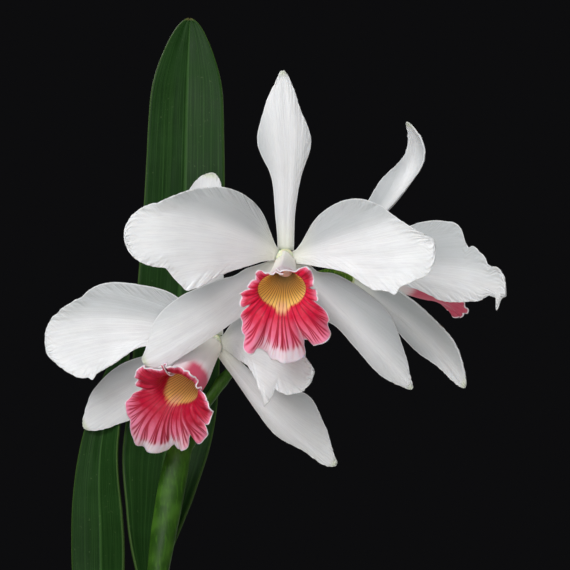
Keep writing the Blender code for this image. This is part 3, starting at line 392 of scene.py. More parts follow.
def blade(azimuth, length, sweep, left, right, bend=0, tip=0.2, cup=(0, 0), keel=0, wave=(0, 0),
          root=TEPAL_ROOT, front=0.0, frill=0.0, edges=(), seed=0, along=124, across=52):
    """Grid of a petal or sepal in its bloom's axes, with three numbers kept at each point.

    These are fan, its place across the veins that fan from the root, along, its share of the length, and
    margin, its distance from the margin.

    The midrib leaves the collar at azimuth, in degrees clockwise from up as the bloom's viewer sees it,
    and turns by bend along its length. It leans forward by the angles in sweep. The half widths left and
    right, in millimetres, stand at equal steps from root to tip. The margin is ruffled by frill
    millimetres, and has a lobe or a notch for each of edges.
    """
    fine = np.linspace(0, 1, FINE_STEPS + 1)
    lean = np.radians(smooth_steps(sweep, fine))[:, None]
    turn = np.radians(azimuth + bend * (fine - 0.3))
    level = np.zeros_like(turn)
    outward = np.stack([np.sin(turn), level, np.cos(turn)], axis=-1)
    heading = np.cos(lean) * outward + np.sin(lean) * np.array([0, -1.0, 0])
    step = length * MM * (heading[1:] + heading[:-1]) / 2 / FINE_STEPS
    start = outward[0] * root + np.array([0, -front, 0])
    midrib = np.vstack([start, start + np.cumsum(step, axis=0)])
    side = np.stack([np.cos(turn), level, -np.sin(turn)], axis=-1)
    face = np.cross(side, heading)
    t = tip_spaced(along + 1)
    even = np.linspace(-1, 1, across + 1)
    s = np.sin(even * math.pi / 2) * 0.5 + even * 0.5
    close = rounded_tip(t, tip)
    bumps = {-1: 0, 1: 0}
    for edge, place, change, spread in edges:
        bumps[edge] = bumps[edge] + change * MM * np.exp(-(((t - place) / spread) ** 2))
    half_left = np.maximum((smooth_steps(np.array(left) * MM, t) + bumps[-1]) * close, BLADE_LEAST)
    half_right = np.maximum((smooth_steps(np.array(right) * MM, t) + bumps[1]) * close, BLADE_LEAST)
    half = np.where(s < 0, half_left[:, None], half_right[:, None])
    mean = (half_left + half_right)[:, None] / 2
    rise = smooth_steps(np.array(cup, float), t)[:, None] * mean * s**2
    rise = rise - keel * MM * np.exp(-((s / 0.2) ** 2)) * np.clip(mean / (10 * MM), 0, 1)
    grow = np.clip(t * 1.6, 0, 1)[:, None]
    ripple = wave[0] * MM * grow * np.abs(s) ** 2.5
    ripple = ripple * np.sin(math.tau * wave[1] * t[:, None] + np.where(s < 0, 0.0, 2.1))
    margin = np.minimum(half * (1 - np.abs(s)), ((1 - t) * length * MM)[:, None])
    slanted = t[:, None] - FRILL_SLANT * np.abs(s)
    place = FRILL_FINENESS * length * slanted + np.where(s < 0, 0.0, 5 * length)
    crinkle = frill * MM * grow * np.exp(-margin / FRILL_REACH) * ruffle(place * np.ones_like(s), seed)
    at = [np.interp(t, fine, way[:, k]) for way in (midrib, side, face) for k in range(3)]
    mid, cross, out = (np.stack(at[k:k + 3], axis=-1) for k in (0, 3, 6))
    points = mid[:, None] + cross[:, None] * (half * s)[..., None]
    points = points + out[:, None] * (rise + ripple + crinkle)[..., None]
    points[0] -= outward[0] * BLADE_JOIN
    widest = max(half_left.max(), half_right.max())
    fan = half * s / (widest * (0.1 + 0.9 * t[:, None] ** 0.8))
    return points, dict(fan=fan, along=t[:, None] * np.ones_like(s), margin=margin)


def smooth_between(value, low, high):
    """0 below low, 1 above high, and a smooth rise between them."""
    share = np.clip((value - low) / (high - low), 0, 1)
    return share**2 * (3 - 2 * share)


def running_share(values):
    """Running mean of values, from 0 at the first to their mean at the last."""
    return np.concatenate([[0], np.cumsum((values[1:] + values[:-1]) / 2)]) / (len(values) - 1)


def trumpet(skirt, droop, tube=44, radii=(5.2, 6.1, 8.0, 10.6), wide=1.26, flare=100, snap=2.2,
            frill=(1.6, 11), yaw=0, overlap=8, hood=0.85, gable=0.0, lowered=0.0, edges=(), crimp=1.0, seed=0,
            around=264, along=60):
    """Grid of a lip: a sheet rolled into a tube about the column, which flares into a frilled skirt.

    skirt holds the flared length, in millimetres, at equal steps of angle once round from the top, past
    the left side, the bottom and the right side, back to the top. The skirt turns outward by flare
    degrees, most of it near the mouth where snap is high, and hood is how far its top stays straight.
    The roof of the tube is pointed as gable nears 1, and lowered by a share.
    Also gives each point's angle from straight down, its share of the tube and of the skirt, its distance
    from the margin and its distance from the tube's axis.
    """
    t = np.linspace(0, 1, along + 1)[:, None]
    inner = np.clip(t / LIP_TUBE_SHARE, 0, 1)
    outer = np.clip((t - LIP_TUBE_SHARE) / (1 - LIP_TUBE_SHARE), 0, 1)
    psi = np.radians(np.linspace(-180 - overlap, 180 + overlap, around + 1))[None, :]
    reach = smooth_steps(np.array(skirt) * MM, (psi[0] + math.pi) / math.tau)[None, :]
    margin_place = np.degrees(psi) * 0.42
    for angle, outward, spread in edges:
        reach = reach + outward * MM * np.exp(-(((np.degrees(psi) - angle) / spread) ** 2))
    reach = reach + 0.45 * MM * ruffle(margin_place, seed + 1) * np.clip(reach / FULL_SKIRT, 0.5, 1)
    bore = smooth_steps(np.array(radii) * MM, inner[:, 0])[:, None]
    fine = np.linspace(0, 1, FINE_STEPS + 1)
    turn = math.radians(flare) * (1 - (1 - fine) ** snap)
    straight = hood * smooth_between(np.degrees(np.abs(psi)), LIP_HOOD_START, LIP_HOOD_FULL)
    out_share = np.interp(outer, fine, running_share(np.sin(turn)))
    on_share = np.interp(outer, fine, running_share(np.cos(turn)))
    spread = reach * (out_share + (LIP_HOOD_LEAN * outer - out_share) * straight)
    onward = reach * (on_share + (outer - on_share) * straight)
    frill_height = frill[0] * MM * outer**1.5 * np.clip(reach / FULL_SKIRT, 0.4, 1.2)
    onward = onward + frill_height * np.sin(frill[1] * psi + 0.8)
    lap = LIP_LAP * psi / math.pi
    stretch = 1 + (wide - 1) * inner
    roof = (np.cos(psi) < 0) * (1 - inner**3)
    pointed = 1 / (np.abs(np.sin(psi)) + np.abs(np.cos(psi)))
    bore = bore * (1 - roof * gable * (1 - pointed))
    ahead = LIP_START + tube * MM * inner + onward
    sideways = np.sin(psi) * ((bore + lap) * stretch + spread)
    upward = -np.cos(psi) * (bore * (1 - roof * lowered) + lap + spread)
    tilt = math.radians(droop)
    aim = math.radians(yaw)
    forward = -np.cos(tilt) * ahead - np.sin(tilt) * upward
    height = -np.sin(tilt) * ahead + np.cos(tilt) * upward
    x = sideways * math.cos(aim) - forward * math.sin(aim)
    y = sideways * math.sin(aim) + forward * math.cos(aim)
    points = np.stack([x, y, height], axis=-1)
    margin = reach * (1 - outer)
    waves = ruffle(margin_place * np.ones_like(t), seed)
    crinkle = crimp * MM * outer**1.2 * np.exp(-margin / LIP_FRILL_REACH) * waves * (1 - 0.6 * straight)
    points = points + grid_normals(points) * crinkle[..., None]
    angle = np.degrees(psi) * np.ones_like(t)
    return points, dict(angle=angle, tube=inner * np.ones_like(psi), skirt=outer * np.ones_like(psi),
                        margin=margin * np.ones_like(t), away=bore + spread)


def ribbon(route, widths, facing, fold, share=0.12, wave=(0, 0), along=110, across=28):
    """Grid of a strap leaf, and each point's distance from its margin.

    The leaf has a route for its midrib, half widths along it, the way its face looks and how far it folds.
    """
    t = tip_spaced(along + 1)
    line = smooth_route(route, FINE_STEPS + 1)
    fine = np.linspace(0, 1, FINE_STEPS + 1)
    mid = np.stack([np.interp(t, fine, line[:, k]) for k in range(3)], axis=-1)
    slope = np.gradient(line, axis=0)
    head = np.stack([np.interp(t, fine, slope[:, k]) for k in range(3)], axis=-1)
    head /= np.linalg.norm(head, axis=1)[:, None]
    look = smooth_steps(np.array(facing, float), t)
    cross = np.cross(look, head)
    cross /= np.linalg.norm(cross, axis=1)[:, None]
    face = np.cross(head, cross)
    half = np.maximum(smooth_steps(np.array(widths) * MM, t) * rounded_tip(t, share), LEAF_LEAST)
    s = np.linspace(-1, 1, across + 1)
    rise = smooth_steps(np.array(fold, float), t)[:, None] * half[:, None] * np.abs(s) ** 1.4
    ripple = wave[0] * MM * np.sin(math.tau * wave[1] * t[:, None] + 1.8 * (s > 0)) * s**2
    points = mid[:, None] + cross[:, None] * (half[:, None] * s)[..., None]
    points = points + face[:, None] * (rise + ripple)[..., None]
    points[0] -= head[0] * LEAF_JOIN
    return points, half[:, None] * (1 - np.abs(s))


def bloom_matrix(spec):
    """Rotation and place of a bloom's own axes in the plant's."""
    turn = Matrix.Rotation(math.radians(spec["yaw"]), 4, "Z")
    lean = Matrix.Rotation(-math.radians(spec["pitch"]), 4, "X")
    return Matrix.Translation(Vector(spec["place"]) * MM) @ turn @ lean


def set_down(points, matrix):
    """Points given in a bloom's axes, in the plant's."""
    turn = np.array(matrix.to_3x3())
    return points @ turn.T + np.array(matrix.translation)


class Wiring:
    """Short calls for building a node tree, for shapes and for materials alike."""

    def __init__(self, tree):
        self.tree = tree

    def add(self, kind, inputs=None, **settings):
        made = self.tree.nodes.new(kind)
        for key, value in settings.items():
            setattr(made, key, value)
        for key, value in (inputs or {}).items():
            if isinstance(value, bpy.types.NodeSocket):
                self.tree.links.new(value, made.inputs[key])
            else:
                made.inputs[key].default_value = value
        return made

    def math(self, operation, *values, clamp=False):
        made = self.add("ShaderNodeMath", dict(enumerate(values)), operation=operation, use_clamp=clamp)
        return made.outputs[0]

    def times(self, *values):
        return self.math("MULTIPLY", *values)

    def plus(self, *values, clamp=False):
        return self.math("ADD", *values, clamp=clamp)

    def minus(self, *values):
        return self.math("SUBTRACT", *values)

    def over(self, *values):
        return self.math("DIVIDE", *values)

    def larger(self, *values):
        return self.math("MAXIMUM", *values)

    def unsigned(self, value):
        return self.math("ABSOLUTE", value)

    def fraction(self, value):
        return self.math("FRACT", value)

    def noise(self, vector, scale, detail=3.0, roughness=0.5, distortion=0.0):
        inputs = {"Vector": vector, "Scale": scale, "Detail": detail, "Roughness": roughness,
                  "Distortion": distortion}
        return self.add("ShaderNodeTexNoise", inputs).outputs[0]

    def span(self, value, low, high, to_low=0.0, to_high=1.0, smooth=True):
        """Value mapped from low-high to to_low-to_high, held at both ends."""
        inputs = {0: value, 1: low, 2: high, 3: to_low, 4: to_high}
        kind = "SMOOTHSTEP" if smooth else "LINEAR"
        return self.add("ShaderNodeMapRange", inputs, interpolation_type=kind, clamp=True).outputs[0]


class Paint(Wiring):
    """A material under construction: its node tree, and the shader that ends it."""

    def __init__(self, name, finish):
        self.material = bpy.data.materials.new(name)
        self.material.use_nodes = True
        super().__init__(self.material.node_tree)
        self.shader = self.tree.nodes["Principled BSDF"]
        for key, value in finish.items():
            self.shader.inputs[key].default_value = value

    def coordinates(self):
        return self.add("ShaderNodeTexCoord").outputs["Object"]

    def field(self, name):
        return self.add("ShaderNodeAttribute", attribute_name=name).outputs["Fac"]

    def stretched(self, vector, scale):
        return self.add("ShaderNodeMapping", {"Vector": vector, "Scale": scale}).outputs[0]

    def joined(self, x, y, z=0.0):
        return self.add("ShaderNodeCombineXYZ", {0: x, 1: y, 2: z}).outputs[0]

    def mix(self, factor, first, second):
        """First colour where factor is 0, second where it is 1."""
        first = first if isinstance(first, bpy.types.NodeSocket) else (*first, 1.0)
        second = second if isinstance(second, bpy.types.NodeSocket) else (*second, 1.0)
        return self.add("ShaderNodeMix", {0: factor, 6: first, 7: second}, data_type="RGBA").outputs[2]

    def finish(self, colour, roughness, height, depth, strength):
        """The finished material, with a colour, a roughness unless None, and relief of a depth."""
        links = self.tree.links
        links.new(colour, self.shader.inputs["Base Color"])
        if roughness is not None:
            links.new(roughness, self.shader.inputs["Roughness"])
        bump = self.add("ShaderNodeBump", {"Height": height, "Strength": strength, "Distance": depth})
        links.new(bump.outputs[0], self.shader.inputs["Normal"])
        return self.material


def shape_tree(name, sockets):
    """Geometry node tree with named inputs, from rows of a name, a socket type and a default."""
    tree = bpy.data.node_groups.new(name, "GeometryNodeTree")
    tree.interface.new_socket("Geometry", in_out="INPUT", socket_type="NodeSocketGeometry")
    for label, kind, default in sockets:
        socket = tree.interface.new_socket(label, in_out="INPUT", socket_type=kind)
        if default is not None:
            socket.default_value = default
    tree.interface.new_socket("Geometry", in_out="OUTPUT", socket_type="NodeSocketGeometry")
    wire = Wiring(tree)
    return wire, wire.add("NodeGroupInput").outputs


def end_tree(wire, geometry, material):
    """The tree's last steps: real geometry, one material, the output."""
    real = wire.add("GeometryNodeRealizeInstances", {"Geometry": geometry}).outputs[0]
    painted = wire.add("GeometryNodeSetMaterial", {"Geometry": real, "Material": material}).outputs[0]
    wire.add("NodeGroupOutput", {0: painted})
    return wire.tree


def stored(wire, name):
    """Reader of a number kept on the points."""
    reader = wire.add("GeometryNodeInputNamedAttribute", {"Name": name}, data_type="FLOAT")
    return reader.outputs["Attribute"]


def move_along_normals(wire, geometry, distance):
    """Every point moved along its normal by its own distance."""
    normal = wire.add("GeometryNodeInputNormal").outputs[0]
    offset = wire.add("ShaderNodeVectorMath", {0: normal, 3: distance}, operation="SCALE").outputs[0]
    return wire.add("GeometryNodeSetPosition", {"Geometry": geometry, "Offset": offset}).outputs[0]


def relief_tree():
    """Blades: pleats that fan from root to margin, and shallow puckers between them."""
    wire, given = shape_tree("blade_relief", (
        ("Pleats", "NodeSocketFloat", 9.0),
        ("Pleat Depth", "NodeSocketFloat", 0.2 * MM),
        ("Pucker Depth", "NodeSocketFloat", 0.3 * MM),
        ("Pucker Scale", "NodeSocketFloat", 90.0),
        ("Material", "NodeSocketMaterial", None),
    ))
    position = wire.add("GeometryNodeInputPosition").outputs[0]
    wander = wire.times(wire.noise(position, 40.0, 1.0), 1.6 * math.pi)
    turns = wire.times(wire.times(stored(wire, "fan"), given["Pleats"]), math.pi)
    phase = wire.plus(turns, wander)
    grow = wire.span(stored(wire, "along"), 0.05, 0.55)
    pleat = wire.times(wire.times(wire.math("SINE", phase), grow), given["Pleat Depth"])
    pucker = wire.minus(wire.noise(position, given["Pucker Scale"], 2.0), 0.5)
    pucker = wire.times(wire.times(pucker, grow), given["Pucker Depth"])
    moved = move_along_normals(wire, given["Geometry"], wire.plus(pleat, pucker))
    return end_tree(wire, moved, given["Material"])


def sweep_tree():
    """Stems, roots and pseudobulbs: a furrowed round section swept along a line of stored radii."""
    wire, given = shape_tree("stem_sweep", (
        ("Sides", "NodeSocketInt", 24),
        ("Ribs", "NodeSocketFloat", 5.0),
        ("Rib Depth", "NodeSocketFloat", 0.0),
        ("Knobble Depth", "NodeSocketFloat", 0.1 * MM),
        ("Knobble Scale", "NodeSocketFloat", 150.0),
        ("Material", "NodeSocketMaterial", None),
    ))
    ring = wire.add("GeometryNodeCurvePrimitiveCircle", {"Resolution": given["Sides"], "Radius": 1.0})
    share = wire.add("GeometryNodeSplineParameter").outputs["Factor"]
    turn = wire.times(wire.times(share, math.tau), given["Ribs"])
    lobe = wire.unsigned(wire.math("SINE", wire.times(turn, 0.5)))
    swell = wire.times(wire.minus(lobe, 0.6), given["Rib Depth"])
    place = wire.add("GeometryNodeInputPosition").outputs[0]
    lobed = wire.add("ShaderNodeVectorMath", {0: place, 3: swell}, operation="SCALE").outputs[0]
    profile = wire.add("GeometryNodeSetPosition", {"Geometry": ring.outputs[0], "Offset": lobed}).outputs[0]
    line = wire.add("GeometryNodeMeshToCurve", {"Mesh": given["Geometry"]}).outputs[0]
    radius = stored(wire, "radius")
    sized = wire.add("GeometryNodeSetCurveRadius", {"Curve": line, "Radius": radius}).outputs[0]
    tube = wire.add("GeometryNodeCurveToMesh", {"Curve": sized, "Profile Curve": profile, "Fill Caps": True})
    # Later versions size the section by this input, not by the curve's radius
    if "Scale" in tube.inputs:
        wire.tree.links.new(radius, tube.inputs["Scale"])
    bump = wire.minus(wire.noise(place, given["Knobble Scale"], 3.0), 0.5)
    moved = move_along_normals(wire, tube.outputs[0], wire.times(bump, given["Knobble Depth"]))
    smooth = wire.add("GeometryNodeSetShadeSmooth", {"Geometry": moved}).outputs[0]
    return end_tree(wire, smooth, given["Material"])


def scatter_tree():
    """Loose pieces on a surface: one rough block, turned, sized and worn differently at every point."""
    wire, given = shape_tree("loose_scatter", (
        ("Density", "NodeSocketFloat", 30000.0),
        ("Spacing", "NodeSocketFloat", 4 * MM),
        ("Block", "NodeSocketVector", (16 * MM, 9 * MM, 5 * MM)),
        ("Tilt", "NodeSocketFloat", 0.5),
        ("Wear Depth", "NodeSocketFloat", 2.2 * MM),
        ("Wear Scale", "NodeSocketFloat", 120.0),
        ("Seed", "NodeSocketInt", 4),
        ("Material", "NodeSocketMaterial", None),
    ))
    spots = wire.add("GeometryNodeDistributePointsOnFaces", {
        "Mesh": given["Geometry"], "Distance Min": given["Spacing"], "Density Max": given["Density"],
        "Seed": given["Seed"]}, distribute_method="POISSON")
    block = wire.add("GeometryNodeMeshCube", {"Size": given["Block"], "Vertices X": 4, "Vertices Y": 3,
                                              "Vertices Z": 3}).outputs["Mesh"]
    tilt = wire.add("ShaderNodeCombineXYZ", {0: given["Tilt"], 1: given["Tilt"], 2: math.pi}).outputs[0]
    back = wire.add("ShaderNodeVectorMath", {0: tilt, 3: -1.0}, operation="SCALE").outputs[0]
    turn = wire.add("FunctionNodeRandomValue", {0: back, 1: tilt, "Seed": given["Seed"]},
                    data_type="FLOAT_VECTOR").outputs[0]
    seed = wire.plus(given["Seed"], 1)
    size = wire.add("FunctionNodeRandomValue", {0: (0.45, 0.45, 0.45), 1: (1.0, 1.0, 1.0), "Seed": seed},
                    data_type="FLOAT_VECTOR").outputs[0]
    spread = wire.add("GeometryNodeInstanceOnPoints", {"Points": spots.outputs["Points"], "Instance": block,
                                                       "Rotation": turn, "Scale": size}).outputs[0]
    real = wire.add("GeometryNodeRealizeInstances", {"Geometry": spread}).outputs[0]
    place = wire.add("GeometryNodeInputPosition").outputs[0]
    wear = wire.minus(wire.noise(place, given["Wear Scale"], 3.0, 0.6), 0.5)
    moved = move_along_normals(wire, real, wire.times(wear, given["Wear Depth"]))
    return end_tree(wire, moved, given["Material"])


def set_inputs(modifier, values):
    """Give a geometry modifier's named inputs their values, by each socket's identifier."""
    for item in modifier.node_group.interface.items_tree:
        if item.item_type == "SOCKET" and item.in_out == "INPUT" and item.name in values:
            modifier[item.identifier] = values[item.name]


def made_real(obj, tree=None, values=None, thickness=0.0):
    """Plain mesh object in place of one with modifiers, at the origin."""
    if tree:
        shaping = obj.modifiers.new("Shape", "NODES")
        shaping.node_group = tree
        set_inputs(shaping, values or {})
    if thickness:
        wall = obj.modifiers.new("Thickness", "SOLIDIFY")
        wall.thickness = thickness
        wall.offset = 0
        wall.use_even_offset = False
        if len(obj.data.materials) > 1:
            wall.material_offset = 1
    bpy.context.view_layer.update()
    depsgraph = bpy.context.evaluated_depsgraph_get()
    seen = obj.evaluated_get(depsgraph)
    mesh = bpy.data.meshes.new_from_object(seen, preserve_all_data_layers=True, depsgraph=depsgraph)
    obj.modifiers.clear()
    name = obj.name
    bpy.data.objects.remove(obj, do_unlink=True)
    mesh.name = name
    made = bpy.data.objects.new(name, mesh)
    bpy.context.scene.collection.objects.link(made)
    return made


def grid_object(name, points, materials, fields=None, closed=False):
    """Mesh of quads on a grid of points, with a UV map across and along it, and its fields kept on it."""
    rows, columns = points.shape[:2]
    number = np.arange(rows * columns).reshape(rows, columns)
    if closed:
        number = np.hstack([number, number[:, :1]])
    quads = np.stack([number[:-1, :-1], number[:-1, 1:], number[1:, 1:], number[1:, :-1]], axis=-1)
    mesh = bpy.data.meshes.new(name)
    mesh.from_pydata(points.reshape(-1, 3).tolist(), [], quads.reshape(-1, 4).tolist())
    wide = quads.shape[1]
    u = np.arange(wide + 1) / wide
    v = np.arange(rows) / (rows - 1)
    corner_u = np.stack([u[:-1], u[1:], u[1:], u[:-1]], axis=-1)[None].repeat(rows - 1, axis=0)
    corner_v = np.stack([v[:-1], v[:-1], v[1:], v[1:]], axis=-1)[:, None].repeat(wide, axis=1)
    layer = mesh.uv_layers.new(name="blade_map")
    layer.data.foreach_set("uv", np.stack([corner_u, corner_v], axis=-1).astype(np.float32).ravel())
    for key, values in (fields or {}).items():
        kept = mesh.attributes.new(key, "FLOAT", "POINT")
        kept.data.foreach_set("value", np.broadcast_to(values, (rows, columns)).astype(np.float32).ravel())
    for material in materials:
        mesh.materials.append(material)
    mesh.shade_smooth()
    obj = bpy.data.objects.new(name, mesh)
    bpy.context.scene.collection.objects.link(obj)
    return obj


def line_object(name, points, radii):
    """Line of points that keep their radius and their share of its length, for the sweep tree."""
    mesh = bpy.data.meshes.new(name)
    mesh.from_pydata([tuple(p) for p in points], [(i, i + 1) for i in range(len(points) - 1)], [])
    for key, values in (("radius", radii), ("along", np.linspace(0, 1, len(points)))):
        mesh.attributes.new(key, "FLOAT", "POINT").data.foreach_set("value", np.asarray(values, np.float32))
    obj = bpy.data.objects.new(name, mesh)
    bpy.context.scene.collection.objects.link(obj)
    return obj


def merged(name, objects):
    """One object from several, with every face turned outwards."""
    bm = bmesh.new()
    materials = []
    for obj in objects:
        for material in obj.data.materials:
            if material not in materials:
                materials.append(material)
    for obj in objects:
        before = len(bm.faces)
        bm.from_mesh(obj.data)
        bm.faces.ensure_lookup_table()
        slots = [materials.index(material) for material in obj.data.materials]
        for face in bm.faces[before:]:
            face.material_index = slots[face.material_index] if slots else 0
        bpy.data.objects.remove(obj, do_unlink=True)
    bmesh.ops.recalc_face_normals(bm, faces=bm.faces)
    mesh = bpy.data.meshes.new(name)
    bm.to_mesh(mesh)
    bm.free()
    for material in materials:
        mesh.materials.append(material)
    made = bpy.data.objects.new(name, mesh)
    bpy.context.scene.collection.objects.link(made)
    return made


def stands_for(piece, node):
    """The piece rides on the plant's one body and replaces a node."""
    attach(piece, "root")
    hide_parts(node)


def swept(name, points, radii, tree, values):
    """Plain mesh of a round section swept along points, by the sweep tree with the values given."""
    return made_real(line_object(name, points, radii), tree, values)


def welded(obj):
    """The object with its poles and seams closed and its faces turned outwards."""
    bm = bmesh.new()
    bm.from_mesh(obj.data)
    bmesh.ops.remove_doubles(bm, verts=bm.verts, dist=0.005 * MM)
    bmesh.ops.recalc_face_normals(bm, faces=bm.faces)
    bm.to_mesh(obj.data)
    bm.free()
    return obj


def turned(name, profile, sides, material):
    """Profile of radius and height pairs, turned about Z in a number of sides."""
    profile = np.array(profile)
    angle = np.linspace(0, math.tau, sides, endpoint=False)
    x = profile[:, :1] * np.cos(angle)
    y = profile[:, :1] * np.sin(angle)
    z = profile[:, 1:] * np.ones_like(angle)
    return welded(grid_object(name, np.stack([x, y, z], axis=-1), [material], closed=True))


def densified(profile, step):
    """Profile with points added so that none lie further apart than step."""
    out = [profile[0]]
    for (r0, z0), (r1, z1) in zip(profile[:-1], profile[1:]):
        count = max(1, math.ceil(math.hypot(r1 - r0, z1 - z0) / step))
        out += [(r0 + (r1 - r0) * k / count, z0 + (z1 - z0) * k / count) for k in range(1, count + 1)]
    return out


def pot_radius(height):
    """Outer radius of the pot's plain wall at a height."""
    share = height / POT_HEIGHT
    return POT_FOOT_RADIUS + (POT_RIM_RADIUS - POT_BAND_STEP - POT_FOOT_RADIUS) * share


def bulb_line(spec, count):
    """Centres and radii of a pseudobulb from its foot to its top."""
    foot = np.array([spec["foot"][0] * MM, spec["foot"][1] * MM, BULB_FOOT])
    top = np.array(spec["top"]) * MM
    share = np.linspace(0, 1, count)
    drift = share**2 * (3 - 2 * share)
    points = foot + (top - foot) * np.stack([drift, drift, share], axis=-1)
    return points, smooth_steps(np.array(spec["radii"]) * MM, share)


def shouldered(points, radii):
    """Centres and radii with the upper edge rounded."""
    turn = np.radians((0, 25, 45, 65, 85))
    up = points[-1] - points[-2]
    up /= np.linalg.norm(up)
    kept = np.linalg.norm(points - points[-1], axis=1) > 1.3 * BULB_SHOULDER
    rim = points[-1] - up * (BULB_SHOULDER * (1 - np.sin(turn)))[:, None]
    widths = radii[-1] - BULB_SHOULDER * (1 - np.cos(turn))
    return np.vstack([points[kept], rim]), np.concatenate([radii[kept], widths])


def tepal_material(name, colour, root_colour, tip_colour, vein_share, crimp, ridge_highlight_share):
    """Sparkling white blade: fine veins that fan from its root, tinted at the root and at the tip.

    It is painted grey as shade where its shade field is high, crimped along its margin, and has a painted
    highlight along its middle ridge.
    """
    paint = Paint(name, {"Roughness": 0.5, "Subsurface Weight": 0.3, "Subsurface Radius": (1.0, 0.9, 0.8),
                         "Subsurface Scale": 1.4 * MM, "Sheen Weight": 0.05, "Sheen Roughness": 0.4})
    place = paint.coordinates()
    fan = paint.field("fan")
    along = paint.field("along")
    margin = paint.over(paint.field("margin"), MM)
    lines = paint.joined(paint.times(fan, 15.0), paint.times(along, 1.6))
    streak = paint.noise(lines, 1.0, 3.0, 0.6)
    vein = paint.span(paint.unsigned(paint.minus(streak, 0.5)), 0.0, 0.045, 1.0, 0.0)
    cloud = paint.noise(place, 60.0, 3.0)
    mottled_white = paint.mix(paint.span(cloud, 0.35, 0.7), colour, tuple(c * 0.95 for c in colour))
    # Painted shade: grey laid over each petal's upper half, both edges of each sepal, and the whole of the
    # blooms the lamps light less
    painted_shade_grey = (0.46, 0.49, 0.50)
    white = paint.mix(paint.span(paint.field("thinness"), 0.28, 1.05, 0.0, 0.8), mottled_white, painted_shade_grey)
    # Painted highlight: a lighter band along a sepal's middle ridge, where the painted shade is held back
    ridge_highlight = paint.span(paint.unsigned(fan), 0.03, 0.16, ridge_highlight_share, 0.0)
    white = paint.mix(ridge_highlight, white, colour)
    vein_grey = (0.60, 0.58, 0.64)
    veined = paint.mix(paint.times(vein, vein_share), white, vein_grey)
    rooted = paint.mix(paint.span(along, 0.0, 0.22, 0.6, 0.0), veined, root_colour)
    tipped = paint.mix(paint.span(along, 0.955, 1.0, 0.0, 0.55), rooted, tip_colour)
    # Painted highlight: a thin brighter rim along the margin
    rim_highlight = (0.93, 0.93, 0.94)
    edged = paint.mix(paint.span(margin, 0.2, 0.8, 0.45, 0.0), tipped, rim_highlight)
    crystal = paint.noise(place, 1500.0, 2.0)
    slant = paint.minus(along, paint.times(paint.unsigned(fan), FRILL_SLANT))
    crimps = paint.noise(paint.joined(paint.times(slant, 40.0), fan), 1.0, 2.0)
    crimps = paint.times(crimps, paint.span(margin, 0.0, 9.0, crimp, 0.0))
    height = paint.plus(paint.plus(streak, paint.times(crystal, 0.25)), crimps)
    gloss = paint.span(crystal, 0.3, 0.7, 0.42, 0.6)
    return paint.finish(edged, gloss, height, 0.4 * MM, 0.6)


def fan_cell(paint, angle, skirt, pitch, wander):
    """Distance from the nearest of the lines that run outward every pitch degrees, as a share of pitch."""
    drift_place = paint.joined(paint.times(angle, 0.04), skirt, pitch)
    drift = paint.times(paint.minus(paint.noise(drift_place, 1.0, 1.0), 0.5), wander)
    turned = paint.plus(paint.over(angle, pitch), drift)
    return paint.unsigned(paint.minus(paint.fraction(turned), 0.5))


def drawn_line(paint, cell, pitch, away, thin, thick):
    """1 on a line and 0 beside it, with an edge from thin to thick millimetres of its middle."""
    across = paint.times(paint.times(cell, away), math.radians(pitch) / MM)
    return paint.span(across, thin, thick, 1.0, 0.0)


